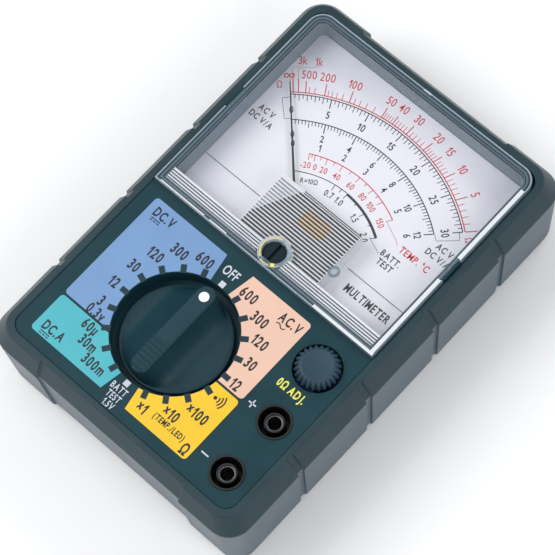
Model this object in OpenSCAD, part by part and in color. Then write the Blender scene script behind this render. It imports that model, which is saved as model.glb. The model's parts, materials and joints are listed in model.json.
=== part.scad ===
// Pocket analog multimeter: moving-coil meter above a twenty-way range switch.
// The meter lies on its back: +Z out of the face, +Y towards the scale, +X to the reader's right.
// The origin is the centre of the back face.

/* [Case] */
// Width of the case over the rim
body_w = 95; // [94:0.5:97]
// Length of the case over the corner pads
body_l = 141; // [140:0.5:144]
// Height of the control panel above the back
panel_z = 35; // [35:0.1:36]
// Drop from the panel to the joint between the front and rear case
parting_drop = 6.5; // [6:0.1:7]
// Width of the chamfer that runs round the rim
rim_chamfer = 3.4; // [2.5:0.1:3.6]
// Radius of the case corners at the joint line
corner_r = 7.5; // [7:0.5:9]
// Wall thickness of the mouldings
wall = 2.2; // [1.8:0.1:2.4]
// Width of the grooves across the rim
groove_w = 2.3; // [1.5:0.1:3]
// Depth of the grooves across the rim
groove_d = 0.8; // [0.4:0.1:1]
// Spacing of the four grooves along each side
groove_pitch = 28; // [26:0.5:29]
// Half width of the recessed middle of the two short sides
end_recess_x = 27.3; // [24:0.1:29]

/* [Meter] */
// Distance of the pointer's pivot from the case centre, towards the scale
pivot_y = 7.9; // [7.5:0.1:8.3]
// Length of the pointer from its pivot to the tip
pointer_l = 50.5; // [48:0.5:51]
// Angle of the pointer at zero, left of straight up
zero_angle = 44.5; // [43:0.5:46]
// Outer radius of the iron yoke
yoke_r = 11.5; // [11:0.1:11.6]
// Radius of the core magnet
core_r = 5.9; // [5.5:0.1:6]
// Side of the meter cover that faces the knob
cover_y0 = -6.2; // [-6.4:0.1:-6]
// Far side of the meter cover
cover_y1 = 65.1; // [64:0.1:65.1]
// Half width of the meter cover
cover_hx = 41.7; // [41.5:0.1:41.7]

/* [Controls] */
// Range knob centre, left of the case centre line
knob_x = -4.8; // [-5.2:0.1:-4.4]
// Range knob centre, below the case centre
knob_y = -36.5; // [-37:0.1:-36]
// Radius of the range knob's disc
knob_r = 16.4; // [16:0.1:17]
// Width of the knob's grip bar
grip_w = 5.6; // [5:0.1:6.5]
// Number of switch positions
positions = 20; // [20]
// Sideways place of the two jacks
jack_x = 33.7; // [33.4:0.1:34]
// Place of the upper jack along the case
jack_y = -37.4; // [-37.6:0.1:-37.2]
// Spacing of the two jacks
jack_pitch = 19.2; // [19:0.1:19.4]
// Radius of the jack bore, for a 4 mm plug
jack_bore_r = 2.0; // [2]
// Sideways place of the zero-ohm adjuster
adj_x = 32.2; // [32:0.1:32.6]
// Place of the zero-ohm adjuster along the case
adj_y = -18; // [-18.4:0.1:-17.6]
// Radius of the zero-ohm adjuster's knob
adj_r = 6.8; // [6.5:0.1:6.9]

/* [Hidden] */
$fn = 48;

half_w = body_w / 2;
half_l = body_l / 2;
parting_z = panel_z - parting_drop;
rim_z = panel_z + 0.4;             // top of the rim
rim_hx = half_w - rim_chamfer;     // outer edge of the flat rim
rim_hy = half_l - 2.8;
panel_hx = 41.8;                   // the panel inside the rim
panel_hy = 65.2;
panel_r = 4;
flange_h = 2.5;                    // flange of the front case inside the rim
flange_in = 2.2;                   // how far the flange stays inside the outer wall
cut = 0.1;                         // overshoot of a cutting solid
skin = wall;

// rear case
back_drop = 4;                     // height of the rounded edge of the back
taper = 1.2;                       // draught of the side wall
back_in = 3;                       // width of the rounded edge of the back
tray_in = 3.9;                     // side wall, thick because the pads are moulded on
boss_r = 3.5;
screw_r = 1.5;
screw_head_r = 2.8;
screw_head_h = 2;
case_screw_xy = [[-36, 59.5], [36, 59.5], [-36, -59.5], [21, -59.5]];
case_screw_z = 3;                  // depth of the screw recesses
case_screw_top = 23;
boss_top_z = 15.9;

// meter well
well_hx = 41.5;
well_wall = 1.9;
well_y0 = -5.9;
well_y1 = 64.9;
well_top_z = 30;
well_bottom_z = 24;
lug_top_z = 24.1;
lug_h = 2.2;
lug_y = [8, 28, 52];
lug_w = 6;
lug_in_x = 33.5;
lug_out_x = 40;
lug_screw_x = 36.5;
corner_in_x = 32.5;
corner_y0 = 56;
corner_y1 = 63.4;
side_rail_x = 40;                  // rail that ties the lugs to the well
side_rail_w = 1;
side_rail_y = [4, 63];
dial_t = 0.5;
dial_z = 26.4;                     // underside of the dial
dial_hx = 39.3;
dial_y0 = -3.5;
dial_y1 = 62.6;
cover_top_z = panel_z + 1.5;
cover_wall = 1.8;
latch_y = 27.5;                    // middle of the two cover latches
latch_w = 7;
latch_in_x = 40.9;
latch_rise = 0.3;                  // height of the latches above the cover
flute_n = 5;                       // flutes in the band below the scale
flute_pitch = 0.9;
flute_r = 0.3;
flute_x = [8, 38];
boss_y = -0.5;                     // zero-adjust screw
boss_out_r = 4.9;
boss_in_r = 3.6;
boss_floor_z = 31.4;
stem_r = 1.5;                      // stem of the zero screw
shroud_hx = 15;
shroud_y0 = 0.6;
shroud_y1 = 19.6;
shroud_top_z = 34.3;
shroud_wall = 0.8;
rib_pitch = 1.1;
rib_r = 0.5;
sweep_z = 30.2;                    // the needle passes below this height

// movement
frame_z = 24.2;
frame_top_z = dial_z;
frame_hx = 16;
frame_y0 = -3.7;
frame_y1 = 20.1;
arm_w = 8;
collar_z = 14;
collar_r = yoke_r + 0.9;
yoke_z = 10;
yoke_h = 12;
yoke_bore = 8.2;
coil_in = 6.4;
coil_out = 7.6;
coil_w = 3;
coil_z0 = 8.6;
coil_z1 = 24;
coil_bar = 1.1;
arbor_r = 0.5;
tip_r = 0.35;
jewel_r = tip_r + 0.05;
jewel_screw_r = 1.5;
lower_jewel_z = 6.8;
upper_jewel_z = 30.2;
bridge_hx = 14;
bridge_w = 5;
upper_bridge_z = 31.4;
lower_bridge_z = 4.6;
lower_bridge_top = 6.4;
lever_z = 30.5;
lever_t = 0.6;
pin_r = 0.6;
pin_off = 1.0;                     // throw of the zero screw's eccentric pin
pointer_z = 28.2;
bobbin_x = [-3.5, 5];              // bobbin on the movement frame
bobbin_y = [11.8, 18.4];
bobbin_top_z = 27.8;
pointer_t = 0.35;
tail_l = 6.5;                      // counterweight arm of the pointer

// range switch
bowl_r = 18.4;
bowl_floor_z = 29.3;
bowl_under_z = 27.2;
disc_z = 29.6;
disc_top_z = 31;
hub_r = 4;
hub_gap = 0.05;
key_w = 5;
rotor_z = 22.3;
rotor_top_z = 26.4;
rotor_r = 16.5;
ball_r = 1.5;
ball_track_r = 13.5;
ball_gap = 0.08;
board_z = 19.5;
board_t = 1.6;
board_top_z = board_z + board_t;
pad_t = 0.2;
board_post_r = 3;
board_post_xy = [[-36, -46], [-36, -14], [21, -9.5], [5, -60.5]];
board_screw_r = 1.2;

// zero-ohm potentiometer
pot_w = 11;
pot_h = 5;
pot_shaft_r = 2.1;
pot_shaft_top = 35;

// jacks
jack_ring_r = 5.1;
jack_flange = 0.5;
jack_recess_r = 4.5;
jack_inner_r = 2.9;
socket_r = 2.5;
jack_lip_r = 2.4;                  // opening of the lip over the socket
socket_z = 16;
socket_l = 18;
jack_floor_z = 25;
jack_base_z = 23;

// fuse
fuse_x = -25;
fuse_y = -13;
fuse_z = board_z - 3.4;
fuse_l = 20;
fuse_r = 2.6;
fuse_cap_l = 5;

// batteries
cell_r = 7.1;
cell_l = 48.6;
cell_z = 10.2;
cell_y = [33, 49];
holder_roof_z = 17.9;
holder_t = 1.8;
holder_hx = 30;
ear_l = 10;                        // screw ears of the battery holder

// label areas
label_t = 0.2;
label_r = 1.2;
label_x0 = -37;
label_x1 = 22.6;
label_y0 = -61.7;
label_y1 = -9.6;
label_gap = 0.35;
label_left_split = -48.2;
label_right_split = -39;
gap_angle = 10.5;

// Rectangle with round corners, given by its four sides
module round_rect(x0, x1, y0, y1, r) {
    translate([x0 + r, y0]) square([x1 - x0 - 2 * r, y1 - y0]);
    translate([x0, y0 + r]) square([x1 - x0, y1 - y0 - 2 * r]);
    for (x = [x0 + r, x1 - r], y = [y0 + r, y1 - r]) translate([x, y]) circle(r = r);
}

// Flat slab with round corners
module slab(hx, hy, r, z0, z1) {
    translate([0, 0, z0]) linear_extrude(z1 - z0) round_rect(-hx, hx, -hy, hy, r);
}

// Box given by its two corners
module block(low, high) {
    translate(low) cube(high - low);
}

// Upright post at a place
module post(xy, r, z0, z1) {
    translate([xy[0], xy[1], z0]) cylinder(r = r, h = z1 - z0);
}

// Upright tube at a place
module tube(xy, r_out, r_in, z0, z1) {
    difference() {
        post(xy, r_out, z0, z1);
        post(xy, r_in, z0 - cut, z1 + cut);
    }
}

// Room for the grooves across the long sides, and for the recessed middle of the short sides
module rim_cuts() {
    for (i = [-1.5 : 1.5]) translate([0, i * groove_pitch, panel_z / 2])
        cube([2 * body_w, groove_w, 2 * panel_z], center = true);
    cube([2 * end_recess_x, 2 * body_l, 3 * panel_z], center = true);
}

// Pan-head screw, head down, with a cross slot
module pan_screw(xy, head_z, head_r, head_h, shank_r, top_z) {
    slot_w = 0.8;
    difference() {
        union() {
            post(xy, head_r, head_z, head_z + head_h);
            post(xy, shank_r, head_z, top_z);
        }
        for (a = [0, 90]) {
            translate([xy[0], xy[1], head_z]) rotate(a)
                cube([head_r * 1.3, slot_w, head_h], center = true);
        }
    }
}

// Round wire wound on a helix along +Z, built as one swept surface
module coil_spring(r, wire, h, turns) {
    sides = 6;
    per_turn = 14;
    steps = turns * per_turn;
    points = [for (i = [0 : steps], j = [0 : sides - 1])
        let (a = 360 * i / per_turn, b = 360 * j / sides, rr = r + wire * cos(b))
        [rr * cos(a), rr * sin(a), h * i / steps + wire * sin(b)]];
    quads = [for (i = [0 : steps - 1], j = [0 : sides - 1])
        let (k = (j + 1) % sides)
        [i * sides + j, (i + 1) * sides + j, (i + 1) * sides + k, i * sides + k]];
    first = [for (j = [0 : sides - 1]) j];
    last = [for (j = [sides - 1 : -1 : 0]) steps * sides + j];
    polyhedron(points = points, faces = concat([first], quads, [last]));
}

// Flat spiral strip in the plane, winding out from r0 to r1
module spiral_strip(r0, r1, turns, strip_t, h) {
    per_turn = 24;
    steps = turns * per_turn;
    edge = function (side) [for (i = [0 : steps])
        let (a = 360 * i / per_turn, r = r0 + (r1 - r0) * i / steps + side * strip_t / 2)
        [r * cos(a), r * sin(a)]];
    inner = edge(-1);
    outer = edge(1);
    linear_extrude(h) polygon(concat(outer, [for (i = [steps : -1 : 0]) inner[i]]));
}

// ---- case ----

module front_case() {
    color([0.12, 0.24, 0.25])
    difference() {
        union() {
            slab(panel_hx - 0.1, panel_hy - 0.1, panel_r, parting_z, panel_z);
            slab(half_w - flange_in, half_l - flange_in, corner_r - flange_in,
                parting_z, parting_z + flange_h);
            post([knob_x, knob_y], bowl_r + 2, bowl_under_z, panel_z - cut);
            // meter well and its lugs
            translate([0, 0, well_bottom_z]) linear_extrude(well_top_z - well_bottom_z)
                round_rect(-well_hx, well_hx, well_y0, well_y1, panel_r);
        }
        // hollow under the panel
        difference() {
            translate([0, 0, parting_z - cut]) linear_extrude(panel_z - skin - parting_z + cut)
                round_rect(-panel_hx + skin, panel_hx - skin, -panel_hy + skin, well_y0, panel_r - skin);
            post([knob_x, knob_y], bowl_r + 2, 0, panel_z);
        }
        // well
        translate([0, 0, well_bottom_z - cut]) linear_extrude(panel_z)
            round_rect(-well_hx + well_wall, well_hx - well_wall,
                well_y0 + well_wall, well_y1 - well_wall, panel_r - well_wall);
        // seat of the meter cover
        block([-half_w, cover_y0, well_top_z], [half_w, half_l, panel_z + 1]);
        // knob bowl
        post([knob_x, knob_y], bowl_r, bowl_floor_z, panel_z + 1);
        post([knob_x, knob_y], hub_r + hub_gap, 0, panel_z);
        // detent scallops under the bowl
        for (i = [0 : positions - 1]) {
            translate([knob_x, knob_y, bowl_under_z]) rotate(90 + i * 360 / positions)
                translate([ball_track_r - 2, 0, 0]) rotate([0, 90, 0]) cylinder(r = 0.9, h = 4);
        }
        // adjuster and jacks
        post([adj_x, adj_y], adj_r + 0.4, 0, panel_z + 1);
        for (i = [0, 1]) post([jack_x, jack_y - i * jack_pitch], jack_ring_r + 0.05, 0, panel_z + 1);
    }
    color([0.12, 0.24, 0.25]) front_posts();
    color([0.12, 0.24, 0.25]) cover_latches();
}

// Posts, lugs and corner blocks inside the front case
module front_posts() {
    for (p = board_post_xy) difference() {
        post(p, board_post_r, board_top_z, panel_z - skin + cut);
        post(p, board_screw_r, 0, panel_z - 5);
    }
    for (i = [2, 3]) difference() {
        post(case_screw_xy[i], boss_r, boss_top_z + cut, panel_z - skin + cut);
        post(case_screw_xy[i], screw_r, 0, case_screw_top + 3);
    }
    for (side = [0, 1]) mirror([side, 0, 0]) {
        difference() {
            union() {
                block([corner_in_x, corner_y0, boss_top_z + cut], [lug_out_x, corner_y1, dial_z]);
                for (y = lug_y) block([lug_in_x, y - lug_w / 2, lug_top_z - lug_h],
                    [lug_out_x, y + lug_w / 2, lug_top_z]);
            }
            post([case_screw_xy[1][0], case_screw_xy[1][1]], screw_r, 0, case_screw_top + 1);
            for (y = lug_y) post([lug_screw_x, y], screw_r, 0, panel_z);
        }
        block([side_rail_x - side_rail_w / 2, side_rail_y[0], well_bottom_z - lug_h + cut],
            [side_rail_x + side_rail_w / 2, side_rail_y[1], well_bottom_z + 1]);
    }
}

// Two tabs that hold the long edges of the meter cover
module cover_latches() {
    for (side = [0, 1]) mirror([side, 0, 0])
        block([latch_in_x, latch_y - latch_w / 2, well_top_z - 1],
            [panel_hx - 0.1, latch_y + latch_w / 2, cover_top_z + latch_rise]);
}

// Solid outer form of the rim, made smaller all round by inset
module rim_form(inset) {
    hull() {
        slab(half_w - inset, half_l - inset, corner_r, parting_z, parting_z + 0.5, $fn = 32);
        slab(rim_hx - inset, rim_hy - inset, corner_r - 1.5, rim_z - 0.5, rim_z, $fn = 32);
    }
}

// Solid outer form of the rear case, made smaller all round by inset, with a rounded edge to the back
module back_form(inset) {
    hull() {
        slab(half_w - inset, half_l - inset, corner_r, parting_z - 0.5, parting_z, $fn = 32);
        for (a = [0 : 22.5 : 90]) {
            edge_in = taper + inset + back_in * (1 - cos(a));
            edge_z = back_drop * (1 - sin(a));
            slab(half_w - edge_in, half_l - edge_in, corner_r - 1 - back_in * (1 - cos(a)),
                edge_z, edge_z + 0.2, $fn = 32);
        }
    }
}

module front_bumper() {
    color([0.17, 0.26, 0.27])
    difference() {
        rim_form(0);
        slab(half_w - flange_in, half_l - flange_in, corner_r - flange_in, 0, parting_z + flange_h);
        slab(panel_hx, panel_hy, panel_r, 0, panel_z + 5);
        difference() {
            rim_cuts();
            rim_form(groove_d);
        }
    }
}

module rear_case() {
    color([0.38, 0.43, 0.48]) {
        difference() {
            back_form(0);
            slab(half_w - tray_in, half_l - tray_in, corner_r - 3, skin, panel_z);
            difference() {
                rim_cuts();
                back_form(groove_d);
                block([-half_w, -half_l, -panel_z], [half_w, half_l, groove_d]);
            }
            for (p = case_screw_xy) {
                post(p, screw_head_r + 0.2, -cut, case_screw_z);
                post(p, screw_r + 0.2, 0, panel_z);
            }
        }
        for (p = case_screw_xy) difference() {
            post(p, boss_r, skin - cut, boss_top_z);
            post(p, screw_head_r + 0.2, 0, case_screw_z);
            post(p, screw_r + 0.2, 0, panel_z);
        }
    }
}

module case_screws() {
    color("silver") for (p = case_screw_xy)
        pan_screw(p, case_screw_z - screw_head_h, screw_head_r, screw_head_h, screw_r, case_screw_top);
}

// ---- meter ----

module meter_cover() {
    color([0.75, 0.8, 0.85, 0.4])
    difference() {
        translate([0, 0, well_top_z]) linear_extrude(cover_top_z - well_top_z)
            round_rect(-cover_hx, cover_hx, cover_y0 + cut, cover_y1, panel_r);
        difference() {
            translate([0, 0, well_top_z - cut]) linear_extrude(cover_top_z - cover_wall - well_top_z + cut)
                round_rect(-cover_hx + cover_wall, cover_hx - cover_wall,
                    cover_y0 + cover_wall + cut, cover_y1 - cover_wall, panel_r - cover_wall);
            post([0, boss_y], boss_out_r, boss_floor_z, cover_top_z);
        }
        post([0, boss_y], boss_in_r, boss_floor_z + 1.2, panel_z + 5);
        post([0, boss_y], stem_r + 0.05, 0, panel_z + 5);
        for (side = [-1, 1]) {
            translate([side * (cover_hx + 0.2), latch_y, panel_z])
                cube([2.2, latch_w + 0.6, 20], center = true);
        }
        // fluted band below the scale, on the underside
        for (i = [0 : flute_n - 1], x = [-flute_x[1], flute_x[0]]) {
            translate([x, cover_y0 + cover_wall + (i + 1) * flute_pitch, cover_top_z - cover_wall])
                rotate([0, 90, 0]) cylinder(r = flute_r, h = flute_x[1] - flute_x[0]);
        }
    }
}

// Ribbed clear cover over the movement, cut round the boss of the zero screw
module movement_cover() {
    in_hx = shroud_hx - shroud_wall;
    color([0.8, 0.82, 0.85, 0.5])
    difference() {
        block([-shroud_hx, shroud_y0, dial_z + dial_t], [shroud_hx, shroud_y1, shroud_top_z]);
        block([-in_hx, shroud_y0 - 1, 0], [in_hx, shroud_y1 - shroud_wall, shroud_top_z - shroud_wall]);
        block([-in_hx + 0.2, shroud_y1 - 2, 0], [in_hx - 0.2, shroud_y1 + 1, sweep_z]);
        post([0, boss_y], boss_out_r + 0.3, 0, panel_z);
        for (y = [shroud_y0 + 0.7 : rib_pitch : shroud_y1 - 0.6]) {
            translate([-shroud_hx - 1, y, shroud_top_z + 0.2]) rotate([0, 90, 0])
                cylinder(r = rib_r, h = 2 * shroud_hx + 2, $fn = 16);
        }
    }
}

module dial_plate() {
    color([0.87, 0.87, 0.9])
    difference() {
        translate([0, 0, dial_z]) linear_extrude(dial_t) round_rect(-dial_hx, dial_hx, dial_y0, dial_y1, 1.8);
        block([-14.6, dial_y0 - 1, 0], [14.6, shroud_y1 + 0.2 - shroud_wall, panel_z]);
    }
}

module pointer() {
    hub = 1.4;
    color([0.08, 0.08, 0.08])
    translate([0, pivot_y, pointer_z]) rotate(90 + zero_angle) {
        difference() {
            union() {
                cylinder(r = hub, h = 0.6);
                linear_extrude(pointer_t) polygon([[0, -0.5], [12, -0.42], [pointer_l, -0.16],
                    [pointer_l, 0.16], [12, 0.42], [0, 0.5]]);
                linear_extrude(pointer_t) polygon([[-tail_l, -0.35], [0, -0.5], [0, 0.5], [-tail_l, 0.35]]);
                translate([-0.35, -5, 0]) cube([0.7, 10, pointer_t]);
            }
            translate([0, 0, -cut]) cylinder(r = arbor_r, h = 2);
        }
    }
}

module pointer_weights() {
    color("goldenrod")
    translate([0, pivot_y, pointer_z]) rotate(90 + zero_angle) {
        translate([-tail_l, 0, pointer_t]) cylinder(r = 0.9, h = 0.7);
        for (s = [-1, 1]) translate([0, s * 4.4, pointer_t]) cylinder(r = 0.6, h = 0.5);
    }
}

module moving_coil() {
    color([0.75, 0.45, 0.25])
    translate([0, pivot_y, 0]) rotate(90 + zero_angle)
    difference() {
        block([-coil_out, -coil_w / 2, coil_z0], [coil_out, coil_w / 2, coil_z1]);
        block([-coil_in, -coil_w, coil_z0 + coil_bar], [coil_in, coil_w, coil_z1 - coil_bar]);
    }
}

module coil_arbor() {
    collet_r = 1.1;
    color("steelblue")
    translate([0, pivot_y, 0]) {
        translate([0, 0, coil_z1]) cylinder(r = arbor_r, h = 29.9 - coil_z1);
        translate([0, 0, 29.2]) cylinder(r = collet_r, h = 0.7);
        translate([0, 0, 29.9]) cylinder(r = tip_r, h = 0.9);
        translate([0, 0, 7]) cylinder(r = arbor_r, h = coil_z0 - 7);
        translate([0, 0, 7.3]) cylinder(r = collet_r, h = 0.7);
        translate([0, 0, 6.2]) cylinder(r = tip_r, h = 0.8);
    }
}

module upper_hairspring() {
    color("orange") translate([0, pivot_y, 29.3]) rotate(-90) spiral_strip(1.35, 5.1, 4, 0.16, 0.5);
}

module lower_hairspring() {
    color("orange") translate([0, pivot_y, 7.4]) rotate(-90) spiral_strip(1.35, 5.1, 4, 0.16, 0.5);
}

module upper_jewel_screw() {
    color("gold") translate([0, pivot_y, 0]) difference() {
        union() {
            translate([0, 0, upper_jewel_z]) cylinder(r = jewel_screw_r, h = 2.4);
            translate([0, 0, 32.4]) cylinder(r = 2.2, h = 0.8);
        }
        translate([0, 0, upper_jewel_z - cut]) cylinder(r = jewel_r, h = 1);
        translate([0, 0, 33.2]) cube([5, 0.6, 0.8], center = true);
    }
}

module lower_jewel_screw() {
    color("gold") translate([0, pivot_y, 0]) difference() {
        union() {
            translate([0, 0, 3.8]) cylinder(r = jewel_screw_r, h = lower_jewel_z - 3.8);
            translate([0, 0, 3.4]) cylinder(r = 2.2, h = lower_bridge_z - 3.4);
        }
        translate([0, 0, lower_jewel_z - 0.8]) cylinder(r = jewel_r, h = 1);
        translate([0, 0, 3.4]) cube([5, 0.6, 0.8], center = true);
    }
}

module upper_bridge() {
    color("lightgray") difference() {
        union() {
            block([-bridge_hx, pivot_y - bridge_w / 2, upper_bridge_z],
                [bridge_hx, pivot_y + bridge_w / 2, upper_bridge_z + 1]);
            for (side = [-1, 1])
                translate([side * (bridge_hx - 1), pivot_y, (frame_top_z + upper_bridge_z) / 2])
                    cube([2, bridge_w, upper_bridge_z - frame_top_z], center = true);
        }
        translate([0, pivot_y, 0]) cylinder(r = jewel_screw_r, h = 50);
    }
}

module lower_bridge() {
    color("lightgray") difference() {
        union() {
            block([-14.4, pivot_y - bridge_w / 2, lower_bridge_z],
                [14.4, pivot_y + bridge_w / 2, lower_bridge_top]);
            for (side = [-1, 1]) translate([side * 13.45, pivot_y, (lower_bridge_z + frame_z) / 2])
                cube([1.9, bridge_w, frame_z - lower_bridge_z], center = true);
            // stud for the fixed end of the lower hairspring
            translate([-0.4, pivot_y - 5.6, lower_bridge_top - cut]) cube([0.8, 0.4, 1.6]);
            translate([-0.4, pivot_y - 5.6, lower_bridge_z])
                cube([0.8, 4, lower_bridge_top - lower_bridge_z]);
        }
        translate([0, pivot_y, 0]) cylinder(r = jewel_screw_r, h = 20);
    }
}

module iron_yoke() {
    color("dimgray") tube([0, pivot_y], yoke_r, yoke_bore, yoke_z, yoke_z + yoke_h);
}

module core_magnet() {
    color("gray") post([0, pivot_y], core_r, yoke_z, yoke_z + yoke_h);
}

// Two blocks that carry the core inside the yoke, clear of the coil's sweep
module core_clamps() {
    color("peru") difference() {
        intersection() {
            post([0, pivot_y], yoke_bore, yoke_z + 3, yoke_z + yoke_h - 3);
            translate([0, pivot_y, yoke_z + yoke_h / 2]) cube([2 * yoke_bore, 4, yoke_h], center = true);
        }
        post([0, pivot_y], core_r, 0, panel_z);
    }
}

module movement_frame() {
    color([0.2, 0.2, 0.22])
    difference() {
        union() {
            block([-frame_hx, frame_y0, frame_z], [frame_hx, frame_y1, frame_top_z]);
            block([-39.3, pivot_y - arm_w / 2, frame_z], [39.3, pivot_y + arm_w / 2, frame_top_z]);
            post([0, pivot_y], collar_r, collar_z, frame_z + cut);
        }
        post([0, pivot_y], yoke_r, 0, yoke_z + yoke_h);
        post([0, pivot_y], yoke_bore + 0.2, 0, panel_z);
        for (side = [-1, 1]) post([side * lug_screw_x, lug_y[0]], screw_r, 0, dial_z - 0.5);
    }
}

module movement_screws() {
    color("silver") for (side = [-1, 1])
        pan_screw([side * lug_screw_x, lug_y[0]], lug_top_z - lug_h - 1.6, 2.6, 1.6, screw_r, dial_z - 0.6);
}

// Flat bobbin wound with resistance wire, on the far edge of the movement frame
module damping_coil() {
    color("wheat") {
        block([bobbin_x[0] + 0.6, bobbin_y[0] + 0.5, frame_top_z],
            [bobbin_x[1] - 0.6, bobbin_y[1] - 0.5, bobbin_top_z - 0.3]);
        for (x = [bobbin_x[0], bobbin_x[1] - 0.7])
            block([x, bobbin_y[0], frame_top_z], [x + 0.7, bobbin_y[1], bobbin_top_z]);
    }
}

module zero_lever() {
    fork_y = boss_y - pin_off - pivot_y;
    color("gold") translate([0, pivot_y, lever_z]) {
        difference() {
            union() {
                cylinder(r = 2.5, h = lever_t);
                translate([-1.1, fork_y - 1.5, 0]) cube([2.2, -fork_y + 1.5, lever_t]);
                translate([-0.4, -5.6, -1.2]) cube([0.8, 0.4, 1.3]);
            }
            translate([0, 0, -2]) cylinder(r = jewel_screw_r + 0.05, h = 4);
            translate([-pin_r - 0.06, fork_y - 2, -1]) cube([2 * pin_r + 0.12, 3.2, 3]);
        }
    }
}

module zero_screw() {
    color([0.1, 0.1, 0.1]) difference() {
        union() {
            post([0, boss_y], boss_in_r - 0.2, boss_floor_z + 1.25, panel_z + 0.4);
            post([0, boss_y], stem_r, boss_floor_z - 0.1, panel_z);
            post([0, boss_y - pin_off], pin_r, lever_z - 0.2, boss_floor_z);
        }
        translate([0, boss_y, panel_z + 0.4]) cube([1, 9, 2], center = true);
    }
}

// ---- range switch ----

module range_knob() {
    top_z = panel_z + 4;
    color([0.1, 0.17, 0.17]) translate([knob_x, knob_y, 0]) {
        difference() {
            union() {
                translate([0, 0, disc_z]) cylinder(r = knob_r, h = disc_top_z - disc_z);
                translate([0, 0, rotor_top_z]) cylinder(r = hub_r, h = disc_z - rotor_top_z);
                translate([-key_w / 2, -key_w / 2, rotor_z]) cube([key_w, key_w, rotor_top_z - rotor_z]);
                grip_bar(top_z);
            }
            translate([0, 0, rotor_z - cut]) cylinder(r = screw_r, h = 6);
            translate([0, knob_r - 3.9, top_z - 0.6]) cylinder(r = 1.5, h = 2);
        }
    }
}

// Bar across the knob with round ends, wider at its foot
module grip_bar(top_z) {
    reach = knob_r - 0.9;
    hull() {
        for (s = [-1, 1]) translate([0, s * (reach - grip_w / 2), top_z - 1])
            cylinder(r = grip_w / 2, h = 1, $fn = 32);
        for (s = [-1, 1]) translate([0, s * (reach - grip_w / 2 - 1), disc_top_z - 0.2])
            cylinder(r = grip_w / 2 + 1.2, h = 0.2, $fn = 32);
    }
}

module knob_dot() {
    color("white") post([knob_x, knob_y + knob_r - 3.9], 1.5, panel_z + 3.4, panel_z + 3.95);
}

module knob_screw() {
    color("silver") pan_screw([knob_x, knob_y], rotor_z - 2, 3.2, 2, screw_r, rotor_z + 5.5);
}

module switch_rotor() {
    color("ivory") difference() {
        post([knob_x, knob_y], rotor_r, rotor_z, rotor_top_z);
        translate([knob_x - key_w / 2, knob_y - key_w / 2, 0]) cube([key_w, key_w, panel_z]);
        for (s = [-1, 1]) post([knob_x, knob_y + s * ball_track_r], ball_r + 0.05, rotor_z + 0.5, panel_z);
    }
}

module detent_balls() {
    color("silver") for (s = [-1, 1])
        translate([knob_x, knob_y + s * ball_track_r, bowl_under_z - ball_gap - ball_r]) sphere(r = ball_r);
}

module detent_springs() {
    spring_wire = 0.15;
    base_z = rotor_z + 0.5 + spring_wire;
    top_z = bowl_under_z - ball_gap - 2 * ball_r - spring_wire;
    color("lightgray") for (s = [-1, 1])
        translate([knob_x, knob_y + s * ball_track_r, base_z])
            coil_spring(0.9, spring_wire, top_z - base_z, 2);
}

// Three spring fingers on a plate under the rotor
module switch_wipers() {
    finger_z = board_top_z + pad_t + 0.1;
    color("gold") translate([knob_x, knob_y, 0]) {
        difference() {
            translate([-2.5, 0, rotor_z - 0.3]) cube([5, 15.5, 0.3]);
            translate([0, 0, rotor_z - 1]) cylinder(r = 4.2, h = 2);
        }
        for (r = [6.5, 10, 13.5]) {
            translate([-0.6, r, finger_z]) cube([1.2, 1.2, rotor_z - finger_z]);
        }
    }
}

module switch_pads() {
    ring_w = 1.6;
    color("goldenrod") {
        for (r = [7, 10.5])
            tube([knob_x, knob_y], r + ring_w / 2, r - ring_w / 2, board_top_z, board_top_z + pad_t);
        for (i = [0 : positions - 1]) translate([knob_x, knob_y, board_top_z]) rotate(i * 360 / positions)
            translate([12.8, -0.9, 0]) cube([2.8, 1.8, pad_t]);
    }
}

module circuit_board() {
    color([0.1, 0.4, 0.2]) difference() {
        translate([0, 0, board_z]) linear_extrude(board_t) round_rect(-40.5, 40.5, -64, -6.6, 1.5);
        post([knob_x, knob_y], 4.5, 0, panel_z);
        for (p = board_post_xy) post(p, board_screw_r + 0.2, 0, panel_z);
        for (i = [2, 3]) post(case_screw_xy[i], boss_r + 0.4, 0, panel_z);
        for (i = [0, 1]) post([jack_x, jack_y - i * jack_pitch], socket_r + 0.05, 0, panel_z);
    }
}

module board_screws() {
    color("silver") for (p = board_post_xy) pan_screw(p, board_z - 1.4, 2.4, 1.4, board_screw_r, 27);
}

module range_resistors() {
    count = 6;
    color([0.3, 0.55, 0.75]) for (row = [0, 1], i = [0 : count - 1])
        translate([16.5 + row * 8, -32 - i * 3.2, board_z - 1.3]) rotate([0, 90, 0]) {
            cylinder(r = 1.1, h = 5.5);
            translate([0, 0, -0.8]) cylinder(r = 0.3, h = 7.1);
            for (z = [-0.8, 5.7]) translate([0.3, 0, z + 0.3]) rotate([0, -90, 0]) cylinder(r = 0.3, h = 1.6);
        }
}

module buzzer() {
    color([0.15, 0.15, 0.15]) difference() {
        post([-32, -27], 6, board_top_z, board_top_z + 4);
        post([-32, -27], 1, board_top_z + 2, panel_z);
    }
}

// Lies along X from x0 for l, round the fuse's axis
module fuse_rod(x0, l, r) {
    translate([fuse_x + x0, fuse_y, fuse_z]) rotate([0, 90, 0]) cylinder(r = r, h = l);
}

module fuse_glass() {
    color([0.8, 0.9, 0.9, 0.5]) difference() {
        fuse_rod(fuse_cap_l, fuse_l - 2 * fuse_cap_l, fuse_r - 0.2);
        fuse_rod(0, fuse_l, fuse_r - 0.7);
    }
}

module fuse_caps() {
    color("silver") for (x0 = [0, fuse_l - fuse_cap_l]) fuse_rod(x0, fuse_cap_l, fuse_r);
}

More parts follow.
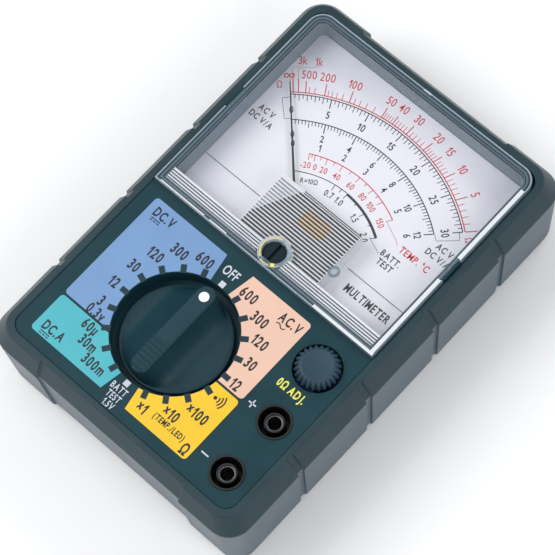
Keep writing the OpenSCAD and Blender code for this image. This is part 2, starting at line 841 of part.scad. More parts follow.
module fuse_clips() {
    clip_w = 3;
    color("gold") for (x0 = [1, fuse_l - 1 - clip_w]) difference() {
        block([fuse_x + x0, fuse_y - fuse_r - 0.5, fuse_z - 2],
            [fuse_x + x0 + clip_w, fuse_y + fuse_r + 0.5, board_z]);
        fuse_rod(0, fuse_l, fuse_r);
        block([fuse_x, fuse_y - 1.6, 0], [fuse_x + fuse_l, fuse_y + 1.6, fuse_z]);
    }
}

// ---- zero-ohm adjuster ----

module adjust_knob() {
    teeth = 24;
    color([0.14, 0.24, 0.24]) difference() {
        union() {
            post([adj_x, adj_y], adj_r - 0.5, 30.5, panel_z + 2.6);
            for (i = [0 : teeth - 1]) translate([adj_x, adj_y, 30.5]) rotate(i * 360 / teeth)
                translate([adj_r - 0.7, 0, 0]) cylinder(r = 0.6, h = panel_z + 2 - 30.5, $fn = 16);
            post([adj_x, adj_y], 4.3, 30, panel_z + 3);
        }
        post([adj_x, adj_y], pot_shaft_r, 0, pot_shaft_top);
    }
}

module adjust_shaft() {
    color("silver") post([adj_x, adj_y], pot_shaft_r, board_top_z + pot_h + 0.1, pot_shaft_top);
}

module adjust_pot() {
    color([0.2, 0.35, 0.6]) {
        block([adj_x - pot_w / 2, adj_y - pot_w / 2, board_top_z],
            [adj_x + pot_w / 2, adj_y + pot_w / 2, board_top_z + pot_h]);
        tube([adj_x, adj_y], 4, pot_shaft_r + 0.05, board_top_z + pot_h - cut, board_top_z + pot_h + 2.5);
    }
}

// ---- jacks ----

module jack_housing(i) {
    xy = [jack_x, jack_y - i * jack_pitch];
    color([0.06, 0.06, 0.06]) difference() {
        union() {
            post(xy, jack_ring_r, jack_base_z, panel_z + 0.3);
            post(xy, jack_ring_r + jack_flange, panel_z - skin - 1.5, panel_z - skin);
        }
        difference() {
            post(xy, jack_recess_r, jack_floor_z, panel_z + 1);
            post(xy, jack_inner_r, jack_floor_z - 1, panel_z - 0.3);
        }
        post(xy, socket_r, 0, socket_z + socket_l);
        post(xy, jack_lip_r, 0, panel_z + 1);
    }
}

module jack_socket(i) {
    xy = [jack_x, jack_y - i * jack_pitch];
    color("gold") difference() {
        union() {
            post(xy, socket_r, socket_z - 1.5, socket_z + socket_l);
            post(xy, socket_r + 1.2, jack_base_z - 1, jack_base_z);
        }
        post(xy, jack_bore_r, socket_z, panel_z);
    }
}

module jack_housing_plus() { jack_housing(0); }
module jack_housing_minus() { jack_housing(1); }
module jack_socket_plus() { jack_socket(0); }
module jack_socket_minus() { jack_socket(1); }

// ---- batteries ----

// AA cell along X; dir tells which end the nub is on
module aa_cell(i, dir) {
    translate([0, cell_y[i], cell_z]) rotate([0, dir * 90, 0]) {
        translate([0, 0, -cell_l / 2]) cylinder(r = cell_r, h = cell_l);
        translate([0, 0, cell_l / 2 - cut]) cylinder(r = 2.7, h = 1.2);
    }
}

module battery_1() { color([0.15, 0.3, 0.6]) aa_cell(0, 1); }
module battery_2() { color([0.15, 0.3, 0.6]) aa_cell(1, -1); }

module battery_holder() {
    y0 = cell_y[0] - cell_r - 1.6;
    y1 = cell_y[1] + cell_r + 1.6;
    color([0.2, 0.2, 0.2]) {
        difference() {
            block([-holder_hx, y0, 5], [holder_hx, y1, holder_roof_z + holder_t]);
            block([-holder_hx + 1.4, y0 + 1.4, 0], [holder_hx - 1.4, y1 - 1.4, holder_roof_z]);
        }
        block([-holder_hx + 1, (y0 + y1) / 2 - 0.5, 6],
            [holder_hx - 1, (y0 + y1) / 2 + 0.5, holder_roof_z + cut]);
        for (side = [-1, 1], y = [lug_y[1], lug_y[2]]) difference() {
            union() {
                translate([side * (holder_hx + ear_l / 2 - 1), y, holder_roof_z + holder_t / 2])
                    cube([ear_l, lug_w, holder_t], center = true);
                post([side * lug_screw_x, y], lug_w / 2, holder_roof_z, lug_top_z - lug_h);
            }
            post([side * lug_screw_x, y], screw_r, 0, panel_z);
        }
    }
}

module battery_springs() {
    wire = 0.4;
    color("silver") for (i = [0, 1]) {
        dir = i == 0 ? -1 : 1;
        translate([dir * (cell_l / 2 + wire), cell_y[i], cell_z]) rotate([0, dir * 90, 0])
            coil_spring(3.2, wire, 28 - cell_l / 2 - 2 * wire, 3);
    }
}

module battery_plates() {
    color("silver") for (side = [-1, 1], i = [0, 1])
        translate([side * 28.3, cell_y[i], cell_z]) cube([0.5, 9, 9], center = true);
}

module holder_screws() {
    color("silver") for (side = [-1, 1], y = [lug_y[1], lug_y[2]])
        pan_screw([side * lug_screw_x, y], holder_roof_z - 1.6, 2.6, 1.6, screw_r, lug_top_z);
}

// ---- printed label areas on the panel ----

module label_area(x0, x1, y0, y1, from_angle, to_angle) {
    translate([0, 0, panel_z]) linear_extrude(label_t) difference() {
        intersection() {
            round_rect(x0, x1, y0, y1, label_r);
            translate([knob_x, knob_y]) polygon([[0, 0],
                for (a = [from_angle : (to_angle - from_angle) / 4 : to_angle + 0.1]) 90 * [cos(a), sin(a)]]);
        }
        translate([knob_x, knob_y]) circle(r = bowl_r + 0.2);
    }
}

module label_dc_volts() {
    color([0.53, 0.67, 0.85])
    label_area(label_x0, knob_x, label_left_split + label_gap, label_y1, 90 + gap_angle, 235);
}

module label_dc_amps() {
    color([0.38, 0.78, 0.83])
    label_area(label_x0, knob_x, label_y0, label_left_split - label_gap, 150, 270 - gap_angle);
}

module label_ac_volts() {
    color([0.94, 0.8, 0.73])
    label_area(knob_x, label_x1, label_right_split + label_gap, label_y1, -30, 90 - gap_angle);
}

module label_ohms() {
    color([0.98, 0.8, 0.18])
    label_area(knob_x, label_x1, label_y0, label_right_split - label_gap, -90 + gap_angle, 20);
}

front_case();
front_bumper();
rear_case();
case_screws();
meter_cover();
movement_cover();
dial_plate();
pointer();
pointer_weights();
moving_coil();
coil_arbor();
upper_hairspring();
lower_hairspring();
upper_jewel_screw();
lower_jewel_screw();
upper_bridge();
lower_bridge();
iron_yoke();
core_magnet();
core_clamps();
movement_frame();
movement_screws();
damping_coil();
zero_lever();
zero_screw();
range_knob();
knob_dot();
knob_screw();
switch_rotor();
switch_wipers();
detent_balls();
detent_springs();
switch_pads();
circuit_board();
board_screws();
range_resistors();
buzzer();
fuse_glass();
fuse_caps();
fuse_clips();
adjust_knob();
adjust_shaft();
adjust_pot();
jack_housing_plus();
jack_housing_minus();
jack_socket_plus();
jack_socket_minus();
battery_1();
battery_2();
battery_holder();
battery_springs();
battery_plates();
holder_screws();
label_dc_volts();
label_dc_amps();
label_ac_volts();
label_ohms();
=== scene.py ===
"""Looks of the analog multimeter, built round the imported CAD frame. The helpers work in millimetres."""
import bpy
import bmesh
import json
import math
from mathutils import Matrix, Vector


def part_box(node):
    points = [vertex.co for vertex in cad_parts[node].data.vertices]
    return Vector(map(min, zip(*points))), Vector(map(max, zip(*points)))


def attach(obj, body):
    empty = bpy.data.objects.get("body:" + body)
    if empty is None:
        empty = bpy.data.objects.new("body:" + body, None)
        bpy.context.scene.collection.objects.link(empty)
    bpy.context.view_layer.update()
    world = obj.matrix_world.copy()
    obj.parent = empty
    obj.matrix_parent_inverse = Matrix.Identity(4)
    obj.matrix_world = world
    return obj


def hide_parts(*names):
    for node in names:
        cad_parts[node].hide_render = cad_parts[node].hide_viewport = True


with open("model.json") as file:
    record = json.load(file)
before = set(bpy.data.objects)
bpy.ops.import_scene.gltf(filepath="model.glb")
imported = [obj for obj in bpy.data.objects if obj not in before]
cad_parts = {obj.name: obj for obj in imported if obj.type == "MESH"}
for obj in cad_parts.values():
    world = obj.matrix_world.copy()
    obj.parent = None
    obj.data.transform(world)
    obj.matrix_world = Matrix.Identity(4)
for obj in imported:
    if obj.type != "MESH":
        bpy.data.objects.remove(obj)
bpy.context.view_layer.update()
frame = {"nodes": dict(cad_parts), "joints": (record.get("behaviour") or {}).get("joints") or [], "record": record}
NODES = frame["nodes"]
MM = 0.001


def box_mm(node):
    """Lowest and highest corner of a CAD node, in millimetres."""
    low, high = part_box(node)
    return low / MM, high / MM


def centre_xy(node):
    low, high = box_mm(node)
    return (low.x + high.x) / 2, (low.y + high.y) / 2


JOINTS = {j["name"]: j for j in frame["joints"]}
PIVOT = tuple(v / MM for v in JOINTS["needle_swing"]["pos_m"][:2])
KNOB = tuple(v / MM for v in JOINTS["range_knob_turn"]["pos_m"][:2])
ZERO = tuple(v / MM for v in JOINTS["zero_screw_turn"]["pos_m"][:2])
DIAL_Z = box_mm("dial_plate")[1].z
LABEL_Z = box_mm("label_ohms")[1].z
PANEL_Z = LABEL_Z - 0.2
INK = 0.03            # height of a printed line over its surface
ROUGH_VARY = 0.12     # share by which the gloss of a finish varies
EDGE_ANGLE = 32       # edges sharper than this many degrees get a bevel
ROUNDING = (0.5, 1.0, 1.57)           # angles at which a rounded edge has its points


# ---------------------------------------------------------------- materials

def material(name):
    m = bpy.data.materials.new(name)
    m.use_nodes = True
    return m, m.node_tree, m.node_tree.nodes["Principled BSDF"]


def noise(tree, scale, detail=3.0):
    """Noise in the frame's own coordinates, so that a scale of 1000 is one millimetre."""
    place = tree.nodes.new("ShaderNodeTexCoord")
    n = tree.nodes.new("ShaderNodeTexNoise")
    n.inputs["Scale"].default_value = scale
    n.inputs["Detail"].default_value = detail
    tree.links.new(place.outputs["Object"], n.inputs["Vector"])
    return n


def spread(tree, source, low, high, low_value, high_value):
    """Maps a factor from low..high to low_value..high_value."""
    r = tree.nodes.new("ShaderNodeMapRange")
    for key, value in (("From Min", low), ("From Max", high), ("To Min", low_value), ("To Max", high_value)):
        r.inputs[key].default_value = value
    tree.links.new(source, r.inputs["Value"])
    return r.outputs["Result"]


def two_tones(tree, factor, one, two):
    mix = tree.nodes.new("ShaderNodeMix")
    mix.data_type = "RGBA"
    mix.inputs["A"].default_value = (*one, 1)
    mix.inputs["B"].default_value = (*two, 1)
    tree.links.new(factor, mix.inputs["Factor"])
    return mix.outputs["Result"]


def linear(rgb):
    """sRGB 0..255 to linear."""
    return tuple((c / 255 / 12.92) if c <= 10 else ((c / 255 + 0.055) / 1.055) ** 2.4 for c in rgb)


def bump(tree, bsdf, height, strength, distance):
    b = tree.nodes.new("ShaderNodeBump")
    b.inputs["Strength"].default_value = strength
    b.inputs["Distance"].default_value = distance * MM
    tree.links.new(height, b.inputs["Height"])
    tree.links.new(b.outputs["Normal"], bsdf.inputs["Normal"])


def finish(name, rgb, rough, vary=0.08, grain=2600, grain_depth=0.03, metal=0.0, blotch=90, spec=0.5,
           coat=0.0):
    """A moulded, printed or metal surface: slow colour variation, uneven gloss and a fine grain."""
    m, tree, bsdf = material(name)
    base = linear(rgb)
    slow = noise(tree, blotch, 4).outputs["Fac"]
    fine = noise(tree, grain, 2).outputs["Fac"]
    darker = tuple(c * (1 - vary) for c in base)
    lighter = tuple(min(1, c * (1 + vary)) for c in base)
    share = spread(tree, slow, 0.35, 0.65, 0, 1)
    tree.links.new(two_tones(tree, share, darker, lighter), bsdf.inputs["Base Color"])
    glossy, dull = rough * (1 - ROUGH_VARY), min(1, rough * (1 + ROUGH_VARY))
    tree.links.new(spread(tree, slow, 0.3, 0.7, glossy, dull), bsdf.inputs["Roughness"])
    bsdf.inputs["Metallic"].default_value = metal
    bsdf.inputs["Specular IOR Level"].default_value = spec
    bsdf.inputs["Coat Weight"].default_value = coat
    bsdf.inputs["Coat Roughness"].default_value = 0.15
    bump(tree, bsdf, fine, 0.35, grain_depth)
    return m


def clear(name, tint, rough, ior=1.49, ripple=0.0):
    """Clear moulded plastic that lets light through to what is under it."""
    m, tree, bsdf = material(name)
    bsdf.inputs["Base Color"].default_value = (*tint, 1)
    bsdf.inputs["Roughness"].default_value = rough
    bsdf.inputs["IOR"].default_value = ior
    bsdf.inputs["Transmission Weight"].default_value = 1.0
    bump(tree, bsdf, noise(tree, 60, 2).outputs["Fac"], 0.2, ripple)
    through = tree.nodes.new("ShaderNodeBsdfTransparent")
    through.inputs["Color"].default_value = (*tint, 1)
    ray = tree.nodes.new("ShaderNodeLightPath")
    mix = tree.nodes.new("ShaderNodeMixShader")
    out = tree.nodes["Material Output"]
    tree.links.new(ray.outputs["Is Shadow Ray"], mix.inputs["Fac"])
    tree.links.new(bsdf.outputs["BSDF"], mix.inputs[1])
    tree.links.new(through.outputs["BSDF"], mix.inputs[2])
    tree.links.new(mix.outputs["Shader"], out.inputs["Surface"])
    return m


def thin_clear(name, rgb, share, rough=0.08, spec=0.5):
    """Clear plastic over print: most light passes straight through, the rest is the plastic's own gloss."""
    m, tree, bsdf = material(name)
    base = linear(rgb)
    slow = noise(tree, 70, 3).outputs["Fac"]
    tree.links.new(two_tones(tree, spread(tree, slow, 0.35, 0.65, 0, 1), tuple(c * 0.96 for c in base), base),
                   bsdf.inputs["Base Color"])
    tree.links.new(spread(tree, slow, 0.3, 0.7, rough * 0.8, rough * 1.2), bsdf.inputs["Roughness"])
    bsdf.inputs["Specular IOR Level"].default_value = spec
    bump(tree, bsdf, noise(tree, 900, 2).outputs["Fac"], 0.1, 0.004)
    through = tree.nodes.new("ShaderNodeBsdfTransparent")
    mix = tree.nodes.new("ShaderNodeMixShader")
    mix.inputs["Fac"].default_value = share
    tree.links.new(through.outputs["BSDF"], mix.inputs[1])
    tree.links.new(bsdf.outputs["BSDF"], mix.inputs[2])
    tree.links.new(mix.outputs["Shader"], tree.nodes["Material Output"].inputs["Surface"])
    return m


def board_finish():
    """Solder mask with the pattern of the tracks under it."""
    m, tree, bsdf = material("circuit_board_mask")
    place = tree.nodes.new("ShaderNodeTexCoord")
    brick = tree.nodes.new("ShaderNodeTexBrick")
    brick.inputs["Scale"].default_value = 180
    brick.inputs["Mortar Size"].default_value = 0.06
    brick.inputs["Color1"].default_value = (*linear((20, 92, 52)), 1)
    brick.inputs["Color2"].default_value = (*linear((18, 84, 48)), 1)
    brick.inputs["Mortar"].default_value = (*linear((40, 130, 72)), 1)
    tree.links.new(place.outputs["Object"], brick.inputs["Vector"])
    tree.links.new(brick.outputs["Color"], bsdf.inputs["Base Color"])
    gloss = spread(tree, noise(tree, 300).outputs["Fac"], 0.3, 0.7, 0.22, 0.36)
    tree.links.new(gloss, bsdf.inputs["Roughness"])
    bump(tree, bsdf, brick.outputs["Fac"], 0.3, 0.03)
    return m


def dial_paper():
    """Matt white paint, made a little greyer away from the middle of the scale by painted shade from the cover's
    walls.
    """
    m, tree, bsdf = material("dial_paint_and_painted_shade")
    place = tree.nodes.new("ShaderNodeTexCoord")
    away = tree.nodes.new("ShaderNodeVectorMath")
    away.operation = "DISTANCE"
    away.inputs[1].default_value = (0.004, 0.026, 0.027)
    tree.links.new(place.outputs["Object"], away.inputs[0])
    share = spread(tree, away.outputs["Value"], 0.03, 0.055, 0, 1)
    # the edge colour is painted shade, where the walls of the cover shade the dial
    middle, edge = linear((232, 231, 239)), linear((200, 204, 215))
    tree.links.new(two_tones(tree, share, middle, edge), bsdf.inputs["Base Color"])
    gloss = spread(tree, noise(tree, 900).outputs["Fac"], 0.3, 0.7, 0.5, 0.6)
    tree.links.new(gloss, bsdf.inputs["Roughness"])
    bsdf.inputs["Specular IOR Level"].default_value = 0.3
    bump(tree, bsdf, noise(tree, 1500, 2).outputs["Fac"], 0.2, 0.003)
    return m


def wound_finish(name, rgb, pitch_scale):
    """Fine copper wire or spring strip: bands across the winding."""
    m, tree, bsdf = material(name)
    place = tree.nodes.new("ShaderNodeTexCoord")
    wave = tree.nodes.new("ShaderNodeTexWave")
    wave.bands_direction = "Z"
    wave.inputs["Scale"].default_value = pitch_scale
    wave.inputs["Distortion"].default_value = 0.6
    tree.links.new(place.outputs["Object"], wave.inputs["Vector"])
    base = linear(rgb)
    shade = tuple(c * 0.6 for c in base)
    tree.links.new(two_tones(tree, wave.outputs["Fac"], shade, base), bsdf.inputs["Base Color"])
    bsdf.inputs["Metallic"].default_value = 1.0
    bsdf.inputs["Roughness"].default_value = 0.38
    bump(tree, bsdf, wave.outputs["Fac"], 0.5, 0.05)
    return m


def palette():
    """The finishes of the record's material slots, of the visual pieces and of the inks."""
    return {
        "case_green": finish("case_green_plastic", (22, 58, 67), 0.45, grain=3200, grain_depth=0.02,
                             spec=0.22),
        "rim_rubber": finish("rim_moulding", (38, 61, 68), 0.42, grain=2400, grain_depth=0.03, spec=0.3),
        "rear_grey": finish("rear_moulding", (74, 90, 101), 0.38, grain=2400, grain_depth=0.025, spec=0.35),
        "steel": finish("plated_steel", (190, 192, 196), 0.28, metal=1.0, grain=1800, grain_depth=0.01),
        "clear_cover": thin_clear("clear_cover_moulding", (206, 214, 224), 0.3, 0.05),
        "ribbed_clear": thin_clear("ribbed_cover_moulding", (214, 220, 230), 0.5, 0.08),
        "window": thin_clear("cover_window", (226, 230, 240), 0.05),
        "cover_edge": thin_clear("cover_edge_moulding", (104, 124, 136), 0.78, 0.14, 0.5),
        # painted shade, for the grooves and for the lines beside the highlights on the cover's edge
        "cover_painted_shade": thin_clear("cover_edge_painted_shade", (60, 78, 88), 0.9, 0.2, 0.3),
        "cover_skirt": thin_clear("cover_skirt_moulding", (160, 180, 194), 0.55, 0.14, 0.4),
        "cover_glint": thin_clear("cover_edge_glint", (196, 210, 220), 0.85, 0.2, 0.4),
        # painted highlight, for the edges of the cover and the glints round the zero boss
        "painted_highlight_white": thin_clear("cover_painted_highlight_white", (238, 242, 246), 0.9, 0.2, 0.4),
        # painted shade: the dark colour of the clear ribs of the movement window
        "rib_shade": thin_clear("rib_moulding", (30, 34, 40), 0.88, 0.25, 0.35),
        "bobbin_view": thin_clear("movement_window_over_bobbin", (240, 212, 176), 0.92, 0.3, 0.3),
        "rib_pale": thin_clear("rib_moulding_pale", (150, 157, 170), 0.7, 0.25, 0.4),
        "block_clear": thin_clear("movement_window", (240, 243, 248), 0.82, 0.2, 0.3),
        "block_side": thin_clear("movement_window_side", (244, 246, 250), 0.86, 0.2, 0.3),
        # painted shade: the dark colour of the clear flutes
        "flute_shade": thin_clear("flute_painted_shade", (66, 80, 92), 0.82, 0.2, 0.4),
        "wire_beige": finish("bobbin_wire", (226, 196, 150), 0.5, vary=0.12, blotch=600, grain_depth=0.02),
        "dial_white": dial_paper(),
        "pointer_black": finish("pointer_lacquer", (16, 16, 18), 0.35, grain_depth=0.005),
        "brass": finish("brass", (206, 168, 92), 0.26, metal=1.0, grain=1500, grain_depth=0.008),
        "brass_pale": finish("brass_washer", (222, 208, 138), 0.4, metal=0.6, grain=1500, grain_depth=0.008),
        "bronze": finish("spring_bronze", (188, 120, 66), 0.3, metal=1.0, grain=1500, grain_depth=0.006),
        "copper": wound_finish("coil_winding", (200, 120, 78), 2600),
        "soft_iron": finish("soft_iron", (92, 94, 98), 0.45, metal=1.0, grain=1200, grain_depth=0.02),
        "magnet": finish("cast_magnet", (112, 112, 116), 0.5, metal=0.9, grain=700, grain_depth=0.05),
        "inner_black": finish("inner_moulding", (34, 36, 40), 0.5),
        "screw_black": finish("zero_screw_moulding", (26, 42, 50), 0.6, vary=0.04, grain_depth=0.002,
                              spec=0.12),
        "knob_green": finish("knob_moulding", (25, 58, 69), 0.46, grain=3600, grain_depth=0.012, vary=0.05,
                             spec=0.25),
        "adjust_green": finish("adjust_knob_moulding", (44, 68, 82), 0.42, grain=3600, grain_depth=0.01,
                               spec=0.3),
        "nickel": finish("nickel_plate", (128, 130, 132), 0.34, metal=1.0, grain=1500, grain_depth=0.008),
        "white": finish("white_inlay", (250, 250, 252), 0.4, vary=0.01, grain_depth=0.005),
        "ivory": finish("rotor_moulding", (226, 218, 196), 0.45),
        "board_green": board_finish(),
        "resistor_blue": finish("resistor_lacquer", (92, 148, 190), 0.35, vary=0.1, grain_depth=0.01),
        "fuse_glass": clear("fuse_tube", (0.95, 0.98, 0.97), 0.02, ior=1.5),
        "pot_blue": finish("potentiometer_body", (48, 84, 150), 0.4),
        "jack_black": finish("jack_moulding", (20, 22, 26), 0.34, grain_depth=0.01),
        "cell_blue": finish("cell_jacket", (42, 74, 140), 0.3, coat=0.3, grain_depth=0.006),
        "label_blue": finish("print_blue", (115, 152, 198), 0.42, vary=0.025, grain=1800, grain_depth=0.006),
        "label_teal": finish("print_teal", (74, 178, 191), 0.42, vary=0.025, grain=1800, grain_depth=0.006),
        "label_pink": finish("print_pink", (233, 193, 172), 0.42, vary=0.02, grain=1800, grain_depth=0.006),
        "label_yellow": finish("print_yellow", (240, 196, 34), 0.42, vary=0.02, grain=1800,
                               grain_depth=0.006),
        "ink_black": finish("ink_black", (28, 32, 38), 0.5, vary=0.1, grain_depth=0.003),
        "ink_red": finish("ink_red", (206, 52, 58), 0.5, vary=0.06, grain_depth=0.003),
        "ink_white": finish("ink_white", (204, 208, 220), 0.5, vary=0.03, grain_depth=0.003),
        "ink_yellow": finish("ink_yellow", (238, 232, 96), 0.5, vary=0.03, grain_depth=0.003),
        "ink_panel": finish("ink_panel_green", (33, 56, 64), 0.45, vary=0.05, grain_depth=0.003, spec=0.25),
    }


FINISH = palette()


# ---------------------------------------------------------------- mesh helpers

def piece(name, bm, finish_name, body, smooth=35, replaces=()):
    """Makes an object from a bmesh in millimetres and lets it ride on a body."""
    bmesh.ops.scale(bm, vec=(MM, MM, MM), verts=bm.verts)
    bmesh.ops.recalc_face_normals(bm, faces=bm.faces)
    mesh = bpy.data.meshes.new(name)
    bm.to_mesh(mesh)
    bm.free()
    obj = bpy.data.objects.new(name, mesh)
    bpy.context.scene.collection.objects.link(obj)
    mesh.materials.append(FINISH[finish_name])
    mesh.shade_smooth()
    mesh.set_sharp_from_angle(angle=math.radians(smooth))
    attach(obj, body)
    if replaces:
        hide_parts(*replaces)
    return obj


def upright(bm):
    """Turns flat printed faces so that they look up."""
    for face in bm.faces:
        if face.normal.z < 0:
            face.normal_flip()


def ink(name, bm, finish_name, body="case"):
    """A printed layer: flat faces just above the surface they are on."""
    bm.normal_update()
    upright(bm)
    bmesh.ops.scale(bm, vec=(MM, MM, MM), verts=bm.verts)
    mesh = bpy.data.meshes.new(name)
    bm.to_mesh(mesh)
    bm.free()
    obj = bpy.data.objects.new(name, mesh)
    bpy.context.scene.collection.objects.link(obj)
    mesh.materials.append(FINISH[finish_name])
    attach(obj, body)
    return obj


def polygon(bm, points, z):
    bm.faces.new([bm.verts.new((x, y, z)) for x, y in points])

def rectangle(bm, x0, x1, y0, y1, z):
    polygon(bm, [(x0, y0), (x1, y0), (x1, y1), (x0, y1)], z)


def stroke(bm, points, width, z):
    """A line of even width through the points."""
    sides = []
    for i, (x, y) in enumerate(points):
        a = Vector(points[max(i - 1, 0)])
        b = Vector(points[min(i + 1, len(points) - 1)])
        along = (b - a).normalized()
        across = Vector((-along.y, along.x)) * width / 2
        left = bm.verts.new((x + across.x, y + across.y, z))
        right = bm.verts.new((x - across.x, y - across.y, z))
        sides.append((left, right))
    for (a, b), (c, d) in zip(sides, sides[1:]):
        bm.faces.new((a, b, d, c))


def ring(bm, centre, radius, width, z, start=0, end=360, steps=48):
    angles = [math.radians(start + (end - start) * i / steps) for i in range(steps + 1)]
    points = [(centre[0] + radius * math.cos(a), centre[1] + radius * math.sin(a)) for a in angles]
    stroke(bm, points, width, z)


def glyph_mesh(text, weight):
    """Mesh of the built-in font's outline of a text, standing on the base line."""
    curve = bpy.data.curves.new("glyphs", "FONT")
    curve.body = text
    curve.offset = weight
    curve.resolution_u = 3
    obj = bpy.data.objects.new("glyphs", curve)
    bpy.context.scene.collection.objects.link(obj)
    mesh = bpy.data.meshes.new_from_object(obj.evaluated_get(bpy.context.evaluated_depsgraph_get()))
    bpy.data.objects.remove(obj)
    bpy.data.curves.remove(curve)
    return mesh


CAP = max(v.co.y for v in glyph_mesh("H", 0).vertices)
GLYPHS = {}


def glyph(char, weight):
    """Corners and faces of one letter, moved to start at x = 0, and its width. A one gets its flag."""
    if (char, weight) not in GLYPHS:
        mesh = glyph_mesh(char, weight)
        left = min(v.co.x for v in mesh.vertices)
        width = max(v.co.x for v in mesh.vertices) - left
        flag = 0.16 * CAP / 0.7 if char == "1" else 0
        points = [(v.co.x - left + flag, v.co.y) for v in mesh.vertices]
        faces = [tuple(face.vertices) for face in mesh.polygons]
        if flag:
            n, top = len(points), CAP + weight
            points += [(flag + 0.01, top), (0, top - 0.19), (0, top - 0.3 - weight),
                       (flag + 0.01, top - 0.17 - weight)]
            faces.append((n, n + 1, n + 2, n + 3))
        bpy.data.meshes.remove(mesh)
        GLYPHS[char, weight] = points, faces, width + flag
    return GLYPHS[char, weight]


def lettering(bm, items, z):
    """Adds lines of text: (text, x, y, height, angle in degrees, weight, width factor), centred on x, y."""
    for text, x, y, height, angle, weight, wide in items:
        gap = 0.1 + 1.6 * weight
        placed, at = [], 0
        for char in text:
            if char == " ":
                at += 0.26
                continue
            points, faces, width = glyph(char, weight)
            placed.append((at, points, faces))
            at += width + gap
        middle, k = (at - gap) / 2, height / CAP
        c, s = math.cos(math.radians(angle)), math.sin(math.radians(angle))
        for start, points, faces in placed:
            row = []
            for px, py in points:
                u, v = (px + start - middle) * k * wide, (py - CAP / 2) * k
                row.append(bm.verts.new((x + u * c - v * s, y + u * s + v * c, z)))
            for face in faces:
                bm.faces.new([row[i] for i in face])


def lathe(bm, centre, profile, steps=96, wobble=None):
    """Turns a profile of (radius, z) round an upright axis; wobble(angle, index) changes the radius."""
    rings = []
    for i, (r, z) in enumerate(profile):
        row = []
        for k in range(steps):
            a = 2 * math.pi * k / steps
            rr = r + (wobble(a, i) if wobble else 0)
            row.append(bm.verts.new((centre[0] + rr * math.cos(a), centre[1] + rr * math.sin(a), z)))
        rings.append(row)
    for one, two in zip(rings, rings[1:]):
        for k in range(steps):
            n = (k + 1) % steps
            bm.faces.new((one[k], one[n], two[n], two[k]))
    return rings


# ---------------------------------------------------------------- carried-over CAD nodes

def soften(obj, width):
    """Rounds the edges of a CAD node by modifiers, without touching its mesh."""
    obj.data.shade_smooth()
    weld = obj.modifiers.new("weld", "WELD")
    weld.merge_threshold = 0.00001
    flat = obj.modifiers.new("flat", "DECIMATE")
    flat.decimate_type = "DISSOLVE"
    flat.angle_limit = math.radians(0.5)
    if width:
        bevel = obj.modifiers.new("edge", "BEVEL")
        bevel.width = width * MM
        bevel.segments = 2
        bevel.limit_method = "ANGLE"
        bevel.angle_limit = math.radians(EDGE_ANGLE)
        bevel.use_clamp_overlap = True
    normals = obj.modifiers.new("normals", "WEIGHTED_NORMAL")
    normals.keep_sharp = True


EDGE = {
    "front_case": 0.25, "front_bumper": 0.35, "rear_case": 0.3, "meter_cover": 0.45, "movement_cover": 0.12,
    "dial_plate": 0.05, "pointer": 0.04, "zero_screw": 0.15, "adjust_knob": 0.15, "jack_housing_plus": 0.2,
    "jack_housing_minus": 0.2, "jack_socket_plus": 0.1, "jack_socket_minus": 0.1, "case_screws": 0.15,
    "label_dc_volts": 0.03, "label_dc_amps": 0.03, "label_ac_volts": 0.03, "label_ohms": 0.03,
}


def carry_over():
    """Gives every CAD node its finish and its edges."""
    slots = {part["node"]: part["material_slot"] for part in frame["record"]["subparts"]}
    for name, obj in NODES.items():
        obj.data.materials.clear()
        obj.data.materials.append(FINISH[slots[name]])
        soften(obj, EDGE.get(name, 0.06))


# ---------------------------------------------------------------- range knob

LEFT_STEEP, RIGHT_STEEP = 1.55, 3.4        # how fast the two flanks of the bar fall

def bar_section(y, reach, half_top, top_z, foot_z, steep):
    """Half profile of the grip bar at y: (x, z) from the middle of the top to the foot."""
    over = max(0.0, abs(y) - (reach - half_top))
    a = math.sqrt(max(half_top ** 2 - over ** 2, 0.02))
    rim = math.sqrt(max(reach ** 2 - y * y, 0.01))
    b = max(a + 0.05, min(a + 9.5, rim))
    top = [(a * s, top_z - 0.12 * s ** 4) for s in (0, 0.3, 0.6, 0.8, 0.92)]
    lip = [(a * (0.97 + 0.03 * math.sin(t)), top_z - 0.12 - 0.3 * (1 - math.cos(t)))
           for t in ROUNDING]
    lip_z = lip[-1][1]
    flank = []
    for i in range(1, 19):
        s = i / 18
        flank.append((a + (b - a) * s, foot_z + (lip_z - foot_z) * (1 - s) ** steep))
    return top + lip + flank


